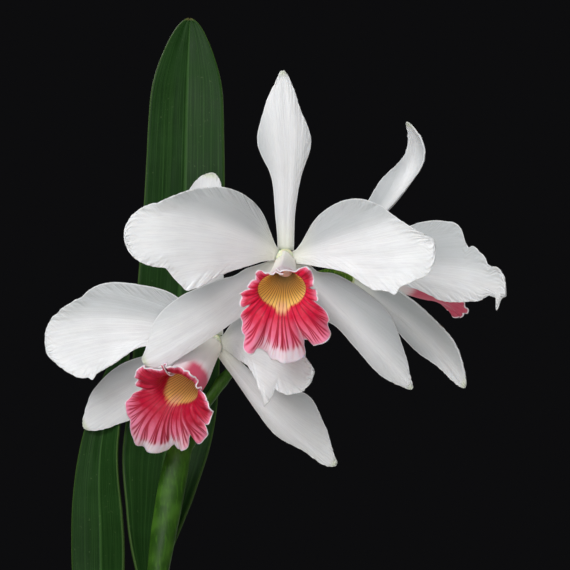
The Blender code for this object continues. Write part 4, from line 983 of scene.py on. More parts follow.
def lip_face_material(colours):
    """Inner face of a lip: yellow throat with red-brown lines, crimson skirt with dark forking veins.

    The skirt's lower half fades to pink towards its margin, with a white patch in the middle of its end; the
    throat has a painted glow deep in the tube.
    """
    paint = Paint("lip_velvet", {"Roughness": 0.55, "Subsurface Weight": 0.4, "Subsurface Scale": 1.4 * MM,
                                 "Subsurface Radius": (1.0, 0.6, 0.4), "Specular IOR Level": 0.25})
    angle = paint.field("angle")
    sideways = paint.field("middle")
    middle = paint.unsigned(sideways)
    tube = paint.field("tube")
    skirt = paint.field("skirt")
    away = paint.field("away")
    # Painted shade of the lips the lamps light less; it also narrows their pale tongue and pushes back one
    # throat wall
    darkness = paint.field("darkness")
    margin = paint.over(paint.field("margin"), MM)
    place = paint.coordinates()
    mottle = paint.noise(place, 260.0, 3.0)
    # Painted shade: the crimson of those lips darkened towards the vein colour
    crimson = paint.mix(darkness, colours["crimson"], colours["vein"])

    pitch = 9.5
    cell = fan_cell(paint, angle, skirt, pitch, 1.6)
    fork = paint.span(skirt, 0.25, 0.95, 0.0, 0.3)
    forked = paint.unsigned(paint.minus(cell, fork))
    stripe = paint.span(paint.math("MINIMUM", cell, forked), 0.02, 0.15, 0.8, 0.0)
    stem_vein = drawn_line(paint, cell, pitch, away, 0.1, 0.45)
    branch = drawn_line(paint, forked, pitch, away, 0.1, 0.4)
    veins = paint.larger(stem_vein, paint.times(branch, 0.7))

    start = paint.span(middle, 12.0, 85.0, 0.08, 0.7)
    fading = paint.span(paint.minus(skirt, start), 0.12, 0.7)
    rim = paint.span(margin, 0.5, 4.0, 0.75, 0.0)
    uneven = paint.times(paint.minus(mottle, 0.5), 0.35)
    paleness = paint.plus(paint.larger(fading, rim), uneven, clamp=True)
    ground = paint.mix(paleness, crimson, colours["rose"])
    patch = paint.times(paint.span(middle, 9.0, 32.0, 1.0, 0.0), paint.span(margin, 5.0, 13.0, 1.0, 0.0))
    ground = paint.mix(patch, ground, colours["blush"])
    clear = paint.times(paint.span(margin, 0.5, 5.0, 0.1, 0.9), paint.span(patch, 0.4, 1.0, 1.0, 0.12))
    ray = paint.unsigned(paint.minus(paint.fraction(paint.over(middle, 5.0)), 0.5))
    ray = paint.times(paint.span(ray, 0.26, 0.4), paint.span(middle, 6.5, 8.0, 1.0, 0.0))
    ray = paint.times(ray, paint.span(margin, 7.0, 10.0))
    striped = paint.mix(paint.times(stripe, clear), ground, crimson)
    veined = paint.mix(paint.times(paint.times(veins, clear), 0.8), striped, colours["vein"])
    rayed = paint.mix(paint.times(ray, 0.9), veined, colours["vein"])
    edged = paint.mix(paint.span(margin, 0.3, 1.0, 1.0, 0.0), rayed, colours["margin"])

    thread_pitch = 9.0
    gathered = paint.over(angle, paint.span(tube, 0.0, 1.0, 0.3, 1.0, smooth=False))
    thread_cell = fan_cell(paint, gathered, tube, thread_pitch, 0.5)
    thread = drawn_line(paint, thread_cell, thread_pitch, away, 0.05, 0.25)
    # Painted glow: the throat paler and brighter deeper in the tube, as if lit through its walls
    glow = paint.mix(paint.span(tube, 0.1, 0.8), colours["throat_glow"], colours["throat"])
    cream = paint.times(paint.span(middle, 5.0, 20.0, 0.6, 0.0), paint.span(tube, 0.8, 1.0))
    glow = paint.mix(cream, glow, colours["cream"])
    # Painted shade: the throat of those lips darkened
    glow = paint.mix(paint.times(darkness, 0.5), glow, colours["throat_shaded"])
    thread = paint.times(thread, paint.span(skirt, 0.0, 0.12, 0.85, 0.5))
    throat = paint.mix(thread, glow, colours["thread"])
    tongue = paint.span(middle, 5.0, 26.0, 0.17, 0.035)
    tongue = paint.times(tongue, paint.span(darkness, 0.0, 0.5, 1.0, 0.45))
    wall = paint.times(paint.span(sideways, -95.0, -20.0, 0.75, 0.0), darkness)
    tongue = paint.minus(tongue, wall)
    inward = paint.times(paint.minus(tube, 1.0), 0.8)
    ragged = paint.times(paint.times(veins, 0.05), paint.span(skirt, 0.0, 0.06))
    past = paint.minus(paint.plus(paint.plus(skirt, inward), ragged), tongue)
    colour = paint.mix(paint.span(past, -0.07, 0.08), throat, edged)
    grain = paint.noise(place, 1100.0, 2.0)
    height = paint.minus(paint.times(grain, 0.3), paint.times(veins, 0.5))
    return paint.finish(colour, paint.span(grain, 0.3, 0.7, 0.45, 0.65), height, 0.3 * MM, 0.5)


def lip_back_material(colours):
    """Outer face of a lip: white flushed with pink, crimson towards the margin of the skirt."""
    paint = Paint("lip_outside", {"Roughness": 0.5, "Subsurface Weight": 0.3, "Subsurface Scale": 1.2 * MM,
                                  "Subsurface Radius": (1.0, 0.7, 0.7)})
    angle = paint.field("angle")
    skirt = paint.field("skirt")
    margin = paint.over(paint.field("margin"), MM)
    fan = paint.joined(paint.times(angle, 0.09), paint.times(skirt, 1.1))
    streak = paint.noise(fan, 1.0, 3.0)
    hood = paint.span(paint.unsigned(angle), 140.0, 165.0, 1.0, 0.15)
    tube = paint.field("tube")
    reach = paint.plus(skirt, paint.span(tube, 0.5, 0.95, 0.0, 0.5))
    flush = paint.plus(paint.span(reach, 0.0, 0.6), paint.times(streak, 0.35))
    ground = paint.mix(paint.span(tube, 0.1, 0.9), colours["outside_base"], colours["outside"])
    rose_share = paint.times(paint.span(flush, 0.15, 0.75, 0.0, 0.93), hood)
    rosy = paint.mix(rose_share, ground, colours["outside_rose"])
    edged = paint.mix(paint.span(margin, 0.3, 1.2, 1.0, 0.0), rosy, colours["margin"])
    return paint.finish(edged, None, streak, 0.3 * MM, 0.5)


def column_material():
    """Waxy cream, greenish at the collar and flushed with rose at the cap."""
    collar_green = (0.62, 0.68, 0.38)
    cream = (0.86, 0.84, 0.74)
    rose = (0.80, 0.34, 0.50)
    paint = Paint("column_wax", {"Roughness": 0.4, "Subsurface Weight": 0.3, "Subsurface Scale": 1.5 * MM,
                                 "Coat Weight": 0.1})
    along = paint.field("along")
    mottle = paint.noise(paint.coordinates(), 500.0, 2.0)
    green = paint.mix(paint.span(along, 0.05, 0.3), collar_green, cream)
    uneven = paint.plus(along, paint.times(mottle, 0.1))
    cap = paint.mix(paint.span(uneven, 0.8, 0.97, 0.0, 0.5), green, rose)
    return paint.finish(cap, None, mottle, 0.2 * MM, 0.4)


def leaf_material(colour, vein_colour):
    """Waxy strap leaf: parallel veins, a paler midrib and margin, and dull water marks."""
    margin_green = (0.10, 0.18, 0.04)
    tip_brown = (0.16, 0.13, 0.05)
    speck_green = (0.10, 0.15, 0.06)
    paint = Paint("leaf_wax", {"Roughness": 0.45, "Specular IOR Level": 0.08})
    place = paint.coordinates()
    across = paint.field("fan")
    along = paint.field("along")
    edge = paint.over(paint.field("margin"), MM)
    lines = paint.joined(paint.times(across, 22.0), paint.times(along, 2.5))
    streak = paint.noise(lines, 1.0, 3.0, 0.6)
    blotch = paint.noise(place, 26.0, 4.0, 0.6)
    green = paint.mix(paint.span(blotch, 0.3, 0.7), tuple(c * 0.72 for c in colour), colour)
    veined = paint.mix(paint.span(streak, 0.45, 0.75, 0.0, 0.5), green, vein_colour)
    rib = paint.mix(paint.span(paint.unsigned(across), 0.015, 0.07, 0.7, 0.0), veined, vein_colour)
    rim = paint.mix(paint.span(edge, 0.2, 0.9, 0.35, 0.0), rib, margin_green)
    aged = paint.mix(paint.span(along, 0.97, 1.0, 0.0, 0.6), rim, tip_brown)
    speck = paint.noise(place, 420.0, 2.0)
    spotted = paint.mix(paint.span(speck, 0.68, 0.76, 0.0, 0.3), aged, speck_green)
    gloss = paint.span(blotch, 0.3, 0.75, 0.38, 0.55)
    groove = paint.span(paint.unsigned(across), 0.0, 0.09)
    height = paint.plus(paint.times(streak, 0.5), groove)
    return paint.finish(spotted, gloss, height, 0.5 * MM, 0.5)


def stem_material(name, colour, dark, scale=90.0):
    """Smooth green stem with faint, paler lengthwise grain."""
    paint = Paint(name, {"Roughness": 0.4, "Subsurface Weight": 0.1, "Subsurface Scale": 1 * MM,
                         "Subsurface Radius": (0.6, 1.0, 0.3), "Specular IOR Level": 0.2})
    place = paint.coordinates()
    grain = paint.noise(paint.stretched(place, (1.0, 1.0, 0.18)), 10 * scale, 3.0)
    cloud = paint.noise(place, scale, 3.0)
    green = paint.mix(paint.span(cloud, 0.35, 0.68), dark, colour)
    lined = paint.mix(paint.span(grain, 0.5, 0.72, 0.0, 0.35), green, tuple(min(1, c * 1.7) for c in colour))
    return paint.finish(lined, paint.span(cloud, 0.3, 0.7, 0.34, 0.5), grain, 0.2 * MM, 0.4)


def bulb_material():
    """Pseudobulb: yellow-green and darker green in clouds, fine fibres, brown scars and a brown top."""
    shaded_green = (0.075, 0.15, 0.03)
    sunlit_green = (0.19, 0.28, 0.06)
    aged_green = (0.26, 0.24, 0.10)
    fibre_green = (0.34, 0.40, 0.15)
    scar_brown = (0.17, 0.10, 0.045)
    top_brown = (0.16, 0.15, 0.06)
    paint = Paint("pseudobulb_skin", {"Roughness": 0.45, "Specular IOR Level": 0.3})
    place = paint.coordinates()
    along = paint.field("along")
    cloud = paint.noise(place, 55.0, 4.0, 0.6)
    fibre = paint.noise(paint.stretched(place, (1.0, 1.0, 0.08)), 700.0, 3.0)
    green = paint.mix(paint.span(cloud, 0.3, 0.7), shaded_green, sunlit_green)
    aged = paint.mix(paint.span(along, 0.0, 0.4, 0.6, 0.0), green, aged_green)
    fibred = paint.mix(paint.span(fibre, 0.5, 0.75, 0.0, 0.35), aged, fibre_green)
    scar = paint.noise(place, 180.0, 3.0, 0.7)
    marked = paint.mix(paint.span(scar, 0.66, 0.76, 0.0, 0.6), fibred, scar_brown)
    top = paint.span(along, 0.975, 0.985)
    topped = paint.mix(paint.times(top, 0.8), marked, top_brown)
    gloss = paint.larger(paint.span(cloud, 0.3, 0.7, 0.36, 0.6), top)
    return paint.finish(topped, gloss, fibre, 0.3 * MM, 0.5)


def papery_material(name, pale, dark, lengthwise=True):
    """Dry sheath: pale with brown stains and dark fibres, which run upwards or every way."""
    paint = Paint(name, {"Roughness": 0.75, "Subsurface Weight": 0.15, "Subsurface Scale": 0.8 * MM})
    place = paint.coordinates()
    upright = 0.05 if lengthwise else 1.0
    fibre = paint.noise(paint.stretched(place, (1.0, 1.0, upright)), 900.0, 3.0, 0.6)
    stain = paint.noise(place, 70.0, 4.0, 0.65)
    base = paint.mix(paint.span(stain, 0.35, 0.68), pale, dark)
    fibred = paint.mix(paint.span(fibre, 0.48, 0.72, 0.0, 0.55), base, tuple(c * 0.45 for c in dark))
    return paint.finish(fibred, None, fibre, 0.3 * MM, 0.7)


def root_material():
    """Root: chalky silver skin with green showing through and a scurfy grain."""
    silver_skin = (0.50, 0.49, 0.42)
    green_skin = (0.24, 0.29, 0.15)
    stain_brown = (0.19, 0.12, 0.06)
    paint = Paint("root_velamen", {"Roughness": 0.8})
    place = paint.coordinates()
    cloud = paint.noise(place, 120.0, 4.0, 0.65)
    grain = paint.noise(place, 1400.0, 2.0)
    silver = paint.mix(paint.span(cloud, 0.42, 0.66), silver_skin, green_skin)
    stain = paint.noise(place, 48.0, 2.0)
    brown = paint.mix(paint.span(stain, 0.56, 0.7, 0.0, 0.8), silver, stain_brown)
    return paint.finish(brown, None, grain, 0.3 * MM, 0.7)


def bark_material():
    """Fir bark: layered red-brown with paler cut faces and dark pores."""
    dark_brown = (0.035, 0.017, 0.009)
    red_brown = (0.17, 0.075, 0.034)
    cut_tan = (0.30, 0.165, 0.085)
    pore_brown = (0.02, 0.011, 0.007)
    paint = Paint("fir_bark", {"Roughness": 0.9})
    place = paint.coordinates()
    layer = paint.noise(paint.stretched(place, (1.0, 1.3, 2.6)), 150.0, 5.0, 0.7, 0.6)
    patch = paint.noise(place, 62.0, 3.0)
    pore = paint.noise(place, 900.0, 3.0, 0.7)
    brown = paint.mix(paint.span(layer, 0.3, 0.7), dark_brown, red_brown)
    cut = paint.mix(paint.span(patch, 0.52, 0.68, 0.0, 0.75), brown, cut_tan)
    pored = paint.mix(paint.span(pore, 0.56, 0.72, 0.0, 0.7), cut, pore_brown)
    height = paint.plus(layer, paint.times(pore, 0.35))
    return paint.finish(pored, None, height, 1.2 * MM, 0.8)


def moss_material():
    """Moss: deep green between its leaves and yellow-green on their tips."""
    deep_green = (0.028, 0.062, 0.012)
    tip_green = (0.16, 0.25, 0.045)
    paint = Paint("cushion_moss", {"Roughness": 0.85, "Subsurface Weight": 0.1, "Subsurface Scale": 0.6 * MM})
    place = paint.coordinates()
    tuft = paint.noise(place, 380.0, 3.0, 0.7)
    green = paint.mix(paint.span(tuft, 0.3, 0.7), deep_green, tip_green)
    return paint.finish(green, None, tuft, 0.5 * MM, 0.8)


def clay_material(clay, bloom):
    """Terracotta: throwing rings, lime at the foot, the rim and under the band, green film near the foot."""
    film_green = (0.11, 0.13, 0.05)
    paint = Paint("terracotta", {"Roughness": 0.85})
    place = paint.coordinates()
    height_up = paint.add("ShaderNodeSeparateXYZ", {0: place}).outputs["Z"]
    cloud = paint.noise(place, 17.0, 5.0, 0.62)
    speck = paint.noise(place, 700.0, 3.0, 0.6)
    ring = paint.noise(paint.stretched(place, (0.12, 0.12, 1.0)), 520.0, 2.0)
    fired = paint.mix(paint.span(cloud, 0.3, 0.72), tuple(c * 0.75 for c in clay), clay)
    specked = paint.mix(paint.span(speck, 0.6, 0.75, 0.0, 0.4), fired, tuple(min(1, c * 1.45) for c in clay))
    low_stain = paint.span(height_up, 0.0, 0.045, 0.62, 0.0)
    rim_stain = paint.span(height_up, 0.099, 0.115, 0.0, 0.5)
    below_band = paint.span(height_up, 0.093, 0.096, 0.5, 0.0)
    band_stain = paint.times(paint.span(height_up, 0.068, 0.091), below_band)
    stain = paint.larger(paint.larger(low_stain, rim_stain), band_stain)
    crust = paint.noise(place, 55.0, 4.0, 0.7)
    limed = paint.mix(paint.times(stain, paint.span(crust, 0.36, 0.62)), specked, bloom)
    runs = paint.noise(paint.stretched(place, (1.0, 1.0, 0.5)), 38.0, 4.0, 0.7)
    film = paint.times(paint.span(height_up, 0.0, 0.08, 1.0, 0.0), paint.span(runs, 0.55, 0.72))
    greened = paint.mix(paint.times(film, 0.55), limed, film_green)
    relief = paint.plus(paint.times(ring, 0.7), paint.times(speck, 0.3))
    return paint.finish(greened, None, relief, 0.5 * MM, 0.5)


def floor_material(colour):
    """Dull paint of one colour."""
    return Paint("floor_paint", {"Roughness": 0.8, "Base Color": (*colour, 1.0)}).material


class OrchidBloomSettings(bpy.types.PropertyGroup):
    """Sizes and colours of the blooms."""

    petal_thickness: FloatProperty(
        name="Petal thickness", description="Thickness of petals", default=0.8 * MM, unit="LENGTH")
    sepal_thickness: FloatProperty(
        name="Sepal thickness", description="Thickness of sepals", default=0.9 * MM, unit="LENGTH")
    lip_thickness: FloatProperty(
        name="Lip thickness", description="Thickness of lips", default=0.7 * MM, unit="LENGTH")
    petal_ruffle: FloatProperty(
        name="Petal ruffle", description="Height of the ruffles at a petal's margin, in millimetres",
        default=0.55)
    sepal_ruffle: FloatProperty(
        name="Sepal ruffle", description="Height of the ruffles at a sepal's margin, in millimetres",
        default=0.2)
    lip_ruffle: FloatProperty(
        name="Lip ruffle", description="Height of the ruffles at a lip's margin, in millimetres",
        default=1.8)
    pleats: FloatProperty(
        name="Pleats", description="Pleats from a petal's midrib to its margin", default=5.0)
    pleat_depth: FloatProperty(
        name="Pleat depth", description="Depth of a petal's pleats", default=0.12 * MM, unit="LENGTH")
    white: FloatVectorProperty(
        name="White", description="Colour of petals and sepals", subtype="COLOR",
        default=(0.86, 0.87, 0.88))
    root_tint: FloatVectorProperty(
        name="Root tint", description="Colour at a petal's root", subtype="COLOR",
        default=(0.84, 0.86, 0.72))
    crimson: FloatVectorProperty(
        name="Crimson", description="Colour inside a lip's skirt", subtype="COLOR",
        default=(0.66, 0.006, 0.05))
    rose: FloatVectorProperty(
        name="Rose", description="Colour towards a lip's margin", subtype="COLOR",
        default=(0.95, 0.29, 0.45))
    throat: FloatVectorProperty(
        name="Throat", description="Yellow of a lip's throat", subtype="COLOR",
        default=(1.0, 0.68, 0.21))


class OrchidPlantSettings(bpy.types.PropertyGroup):
    """Sizes and colours of leaves, stems and pseudobulbs."""

    leaf_thickness: FloatProperty(
        name="Leaf thickness", description="Thickness of leaves", default=1.6 * MM, unit="LENGTH")
    leaf_green: FloatVectorProperty(
        name="Leaf green", description="Colour of leaves", subtype="COLOR",
        default=(0.012, 0.044, 0.008))
    leaf_vein: FloatVectorProperty(
        name="Leaf veins", description="Colour of a leaf's veins", subtype="COLOR",
        default=(0.04, 0.105, 0.024))
    stem_green: FloatVectorProperty(
        name="Stem green", description="Colour of the flower stem", subtype="COLOR",
        default=(0.045, 0.125, 0.01))
    stalk_green: FloatVectorProperty(
        name="Stalk green", description="Colour of the three flower stalks", subtype="COLOR",
        default=(0.30, 0.42, 0.06))
    stem_dark: FloatVectorProperty(
        name="Stem shade", description="Darker colour of the stem", subtype="COLOR",
        default=(0.018, 0.06, 0.005))


class OrchidPotSettings(bpy.types.PropertyGroup):
    """The pot, the bark in it and the moss on the bark."""

    clay: FloatVectorProperty(
        name="Clay", description="Colour of the fired clay", subtype="COLOR",
        default=(0.42, 0.155, 0.075))
    lime: FloatVectorProperty(
        name="Lime", description="Colour of the lime on the clay", subtype="COLOR",
        default=(0.62, 0.53, 0.45))
    chip_density: FloatProperty(
        name="Chip density", description="Bark chips on a square metre", default=42000.0)
    moss_density: FloatProperty(
        name="Moss density", description="Moss leaves on a square metre", default=900000.0)
    sides: IntProperty(
        name="Sides", description="Steps round the pot", default=160, min=24)


class OrchidStageSettings(bpy.types.PropertyGroup):
    """The floor, the backdrop's darkness and the lamps."""

    floor_radius: FloatProperty(
        name="Floor radius", description="Radius of the round floor", default=1.5, unit="LENGTH")
    floor_colour: FloatVectorProperty(
        name="Floor", description="Colour of the floor", subtype="COLOR", default=(0.74, 0.73, 0.70))
    backdrop: FloatVectorProperty(
        name="Backdrop", description="Colour all round the plant", subtype="COLOR",
        default=(0.004, 0.004, 0.0045))
    key_power: FloatProperty(
        name="Key lamp", description="Power of the main lamp", default=15.5, unit="POWER")
    front_power: FloatProperty(
        name="Front lamp", description="Power of the soft lamp beside the camera",
        default=6.5, unit="POWER")
    fill_power: FloatProperty(
        name="Fill lamp", description="Power of the filling lamp", default=0.5, unit="POWER")
    back_power: FloatProperty(
        name="Back lamps", description="Power of each lamp behind the plant", default=8.0, unit="POWER")


class ORCHID_OT_tepals(bpy.types.Operator):
    """Make the petals and sepals of the three blooms, pleated and ruffled"""

    bl_idname = "orchid.make_tepals"
    bl_label = "Petals and sepals"

    def execute(self, context):
        given = context.scene.orchid_blooms
        white = tuple(given.white)
        # Painted shade: the sepals take a darker copy of the petals' white
        shaded_white = tuple(share * 0.92 for share in white)
        root_tint = tuple(given.root_tint)
        tip_green = (0.55, 0.62, 0.30)
        petal = tepal_material("petal_white", white, root_tint, white, 0.2, 4.0, 0.0)
        sepal = tepal_material("sepal_white", shaded_white, root_tint, tip_green, 0.3, 0.3, 0.8)
        tree = relief_tree()
        for order, (which, spec) in enumerate(BLOOMS.items()):
            matrix = bloom_matrix(spec)
            for kind, shape in spec["tepals"].items():
                node = f"{which}_{kind}"
                is_petal = kind.startswith("petal")
                frill = given.petal_ruffle if is_petal else given.sepal_ruffle
                edges = TEPAL_EDGES.get(node, ())
                points, fields = blade(**shape, frill=frill, edges=edges, seed=10 * order + len(kind))
                material = petal if is_petal else sepal
                placed = set_down(points, matrix)
                # Painted shade: greyer towards each petal's upper margin and both margins of each sepal, and
                # all over on the blooms and the sepal the lamps light less
                upper = np.sign(placed[:, -1, 2].mean() - placed[:, 0, 2].mean())
                across = fields["fan"] * upper if is_petal else 0.7 * np.abs(fields["fan"])
                thinness = TEPAL_PAINTED_SHADE.get(node, TEPAL_PAINTED_SHADE[which])
                fields["thinness"] = np.clip(across + thinness, 0, 1)
                sheet = grid_object(f"{node}_blade", placed, [material], fields)
                depth = given.pleat_depth if is_petal else 0.5 * given.pleat_depth
                values = {"Pleats": given.pleats, "Pleat Depth": depth, "Material": material}
                thickness = given.petal_thickness if is_petal else given.sepal_thickness
                piece = made_real(sheet, tree, values, thickness)
                stands_for(piece, node)
        return {"FINISHED"}


class ORCHID_OT_lips(bpy.types.Operator):
    """Make the three lips: tubes that flare into frilled, veined skirts"""

    bl_idname = "orchid.make_lips"
    bl_label = "Lips"

    def execute(self, context):
        given = context.scene.orchid_blooms
        colours = dict(
            crimson=tuple(given.crimson), rose=tuple(given.rose), blush=(0.92, 0.78, 0.86),
            vein=(0.32, 0.002, 0.02), margin=(0.93, 0.82, 0.88), cream=(0.82, 0.44, 0.34),
            throat=tuple(given.throat), throat_glow=(1.0, 0.80, 0.43), throat_shaded=(0.62, 0.16, 0.06),
            thread=(0.28, 0.07, 0.02), outside=(0.95, 0.84, 0.88), outside_base=(0.96, 0.90, 0.83),
            outside_rose=(0.62, 0.025, 0.10),
        )
        face = lip_face_material(colours)
        back = lip_back_material(colours)
        for order, (which, spec) in enumerate(BLOOMS.items()):
            edges = LIP_EDGES[which]
            points, fields = trumpet(**spec["lip"], edges=edges, crimp=given.lip_ruffle, seed=40 + order)
            centre, narrowing, darkness = LIP_MIDDLE[which]
            fields["middle"] = (fields["angle"] - centre) * narrowing
            # Painted shade for the lips the lamps light less
            fields["darkness"] = np.full_like(fields["angle"], darkness)
            placed = set_down(points, bloom_matrix(spec))
            sheet = grid_object(f"{which}_lip_trumpet", placed, [back, face], fields)
            piece = made_real(sheet, thickness=given.lip_thickness)
            stands_for(piece, f"{which}_lip")
        return {"FINISHED"}


class ORCHID_OT_columns(bpy.types.Operator):
    """Make the columns inside the lips, each with the collar that carries the petals"""

    bl_idname = "orchid.make_columns"
    bl_label = "Columns"

    def execute(self, context):
        wax = column_material()
        sides = 32
        narrow = COLLAR_RADIUS - COLLAR_EDGE
        bevel = 0.2 * MM
        collar = (
            (-COLLAR_BACK, narrow),
            (-COLLAR_BACK + bevel, COLLAR_RADIUS - bevel),
            (-COLLAR_BACK + COLLAR_EDGE, COLLAR_RADIUS),
            (COLLAR_FRONT - COLLAR_EDGE, COLLAR_RADIUS),
            (COLLAR_FRONT, narrow),
            (COLLAR_FRONT + bevel, 3 * MM),
        )
        shaft = np.array(COLUMN_SHAFT)
        t = np.linspace(0, 1, 26)
        ahead = smooth_steps(shaft[:, 0], t) * MM
        width = smooth_steps(shaft[:, 1], t) * MM * np.where(t > 0.97, 0.8, 1.0)
        radii = np.concatenate([[radius for _, radius in collar], width])
        base = [np.array([0, -forward, 0]) for forward, _ in collar]
        turn = np.linspace(0, math.tau, sides, endpoint=False)
        flattened = np.concatenate([np.ones(len(base)), 1 - 0.4 * np.clip(t * 3, 0, 1)])
        tall = np.sin(turn) * np.where(np.sin(turn) < 0, flattened[:, None], 1.0)
        wide = np.cos(turn)[None, :, None] * np.array([1.0, 0, 0])
        for which, spec in BLOOMS.items():
            tilt = math.radians(spec["lip"]["droop"])
            way = np.array([0, -math.cos(tilt), -math.sin(tilt)])
            up = np.array([0, -math.sin(tilt), math.cos(tilt)])
            centres = np.vstack([base, ahead[:, None] * way])
            lift = np.vstack([np.tile([0, 0, 1.0], (len(base), 1)), np.tile(up, (len(t), 1))])
            rings = centres[:, None] + radii[:, None, None] * (wide + tall[..., None] * lift[:, None])
            first = np.repeat(rings[:1].mean(axis=1, keepdims=True), sides, axis=1)
            last = np.repeat(rings[-1:].mean(axis=1, keepdims=True), sides, axis=1)
            rings = np.concatenate([first, rings, last])
            fields = dict(along=np.linspace(0, 1, len(rings))[:, None])
            placed = set_down(rings, bloom_matrix(spec))
            piece = welded(grid_object(f"{which}_column_wax", placed, [wax], fields, closed=True))
            stands_for(piece, f"{which}_column")
        return {"FINISHED"}


class ORCHID_OT_stalks(bpy.types.Operator):
    """Make the flower stem and the three flower stalks"""

    bl_idname = "orchid.make_stalks"
    bl_label = "Flower stem and stalks"

    def execute(self, context):
        given = context.scene.orchid_plant
        green = stem_material("flower_stem", tuple(given.stem_green), tuple(given.stem_dark))
        pale = stem_material("flower_stalk", tuple(given.stalk_green), tuple(given.stem_green))
        tree = sweep_tree()
        count = 150
        share = np.linspace(0, 1, count)
        joint = (JOINT_RADIUS - PEDUNCLE_RADIUS) * np.exp(-(((share - JOINT_PLACE) / 0.02) ** 2))
        knob = (KNOB_RADIUS - PEDUNCLE_RADIUS) * np.exp(-(((share - KNOB_PLACE) / 0.04) ** 2))
        radii = PEDUNCLE_RADIUS + joint + knob
        radii[-3:] = PEDUNCLE_END_RADIUS + np.array((0.5, 0.2, -0.3)) * MM
        values = {"Sides": 28, "Material": green}
        stem = swept("peduncle_stem", smooth_route(PEDUNCLE_ROUTE, count), radii, tree, values)
        stands_for(welded(stem), "peduncle")
        values = {"Sides": 26, "Ribs": 6.0, "Rib Depth": 0.06, "Material": pale}
        for which, spec in BLOOMS.items():
            back = bloom_matrix(spec).to_3x3() @ Vector((0, 1, 0))
            start = Vector(spec["place"]) * MM + back * (COLLAR_BACK + GAP)
            straight = start + back * PEDICEL_STRAIGHT
            route = (tuple(start / MM), tuple(straight / MM), *spec["pedicel"])
            widths = smooth_steps(np.array(PEDICEL_RADII) * MM, np.linspace(0, 1, 90))
            stalk = swept(f"{which}_pedicel_stalk", smooth_route(route, 90), widths, tree, values)
            stands_for(welded(stalk), f"{which}_pedicel")
        return {"FINISHED"}


class ORCHID_OT_sheath(bpy.types.Operator):
    """Make the flattened sheath that wraps the foot of the flower stem"""

    bl_idname = "orchid.make_sheath"
    bl_label = "Flower sheath"

    def execute(self, context):
        route = smooth_route(PEDUNCLE_ROUTE, 161)
        length = np.linalg.norm(np.diff(route, axis=0), axis=1)
        measured = np.concatenate([[0], np.cumsum(length)])
        t = np.linspace(0, 1, 70)
        share = SHEATH_START + (SHEATH_LENGTH - SHEATH_START) * t
        mid = np.stack([np.interp(share, measured, route[:, k]) for k in range(3)], axis=-1)
        head = np.gradient(mid, axis=0)
        head /= np.linalg.norm(head, axis=1)[:, None]
        side = np.cross([0.0, 1.0, 0.0], head)
        side /= np.linalg.norm(side, axis=1)[:, None]
        back = np.cross(head, side)
        mid[0] -= head[0] * SHEATH_JOIN
        wide = smooth_steps(np.array(SHEATH_WIDE) * MM, t)
        deep = smooth_steps(np.array(SHEATH_DEEP) * MM, t)
        angle = np.radians(np.linspace(-SHEATH_WRAP, SHEATH_WRAP, 73))
        across = side[:, None] * (wide[:, None] * np.cos(angle))[..., None]
        through = back[:, None] * (deep[:, None] * np.sin(angle))[..., None]
        torn = 1.2 * MM * ruffle(np.degrees(angle) * 0.25, 71)
        slant = head[:, None] * ((t**6)[:, None] * (SHEATH_SLANT * np.cos(angle) + torn))[..., None]
        given = context.scene.orchid_plant
        green = stem_material("sheath_green", tuple(given.stem_green), tuple(given.stem_dark), 70.0)
        sheet = grid_object("flower_sheath_wrap", mid[:, None] + across + through + slant, [green])
        piece = made_real(sheet, thickness=SHEATH_THICKNESS)
        stands_for(piece, "flower_sheath")
        return {"FINISHED"}


class ORCHID_OT_leaves(bpy.types.Operator):
    """Make the five strap leaves"""

    bl_idname = "orchid.make_leaves"
    bl_label = "Leaves"

    def execute(self, context):
        given = context.scene.orchid_plant
        wax = leaf_material(tuple(given.leaf_green), tuple(given.leaf_vein))
        tree = relief_tree()
        values = {
            "Pleats": 4.0, "Pleat Depth": 0.12 * MM,
            "Pucker Depth": 0.9 * MM, "Pucker Scale": 45.0, "Material": wax,
        }
        for name, spec in LEAVES.items():
            points, margin = ribbon(**spec)
            rows, columns = points.shape[:2]
            fan = np.linspace(-1, 1, columns)[None, :]
            fields = dict(fan=fan, along=np.linspace(0, 1, rows)[:, None], margin=margin)
            sheet = grid_object(f"{name}_strap", points, [wax], fields)
            piece = made_real(sheet, tree, values, given.leaf_thickness)
            stands_for(piece, name)
        return {"FINISHED"}


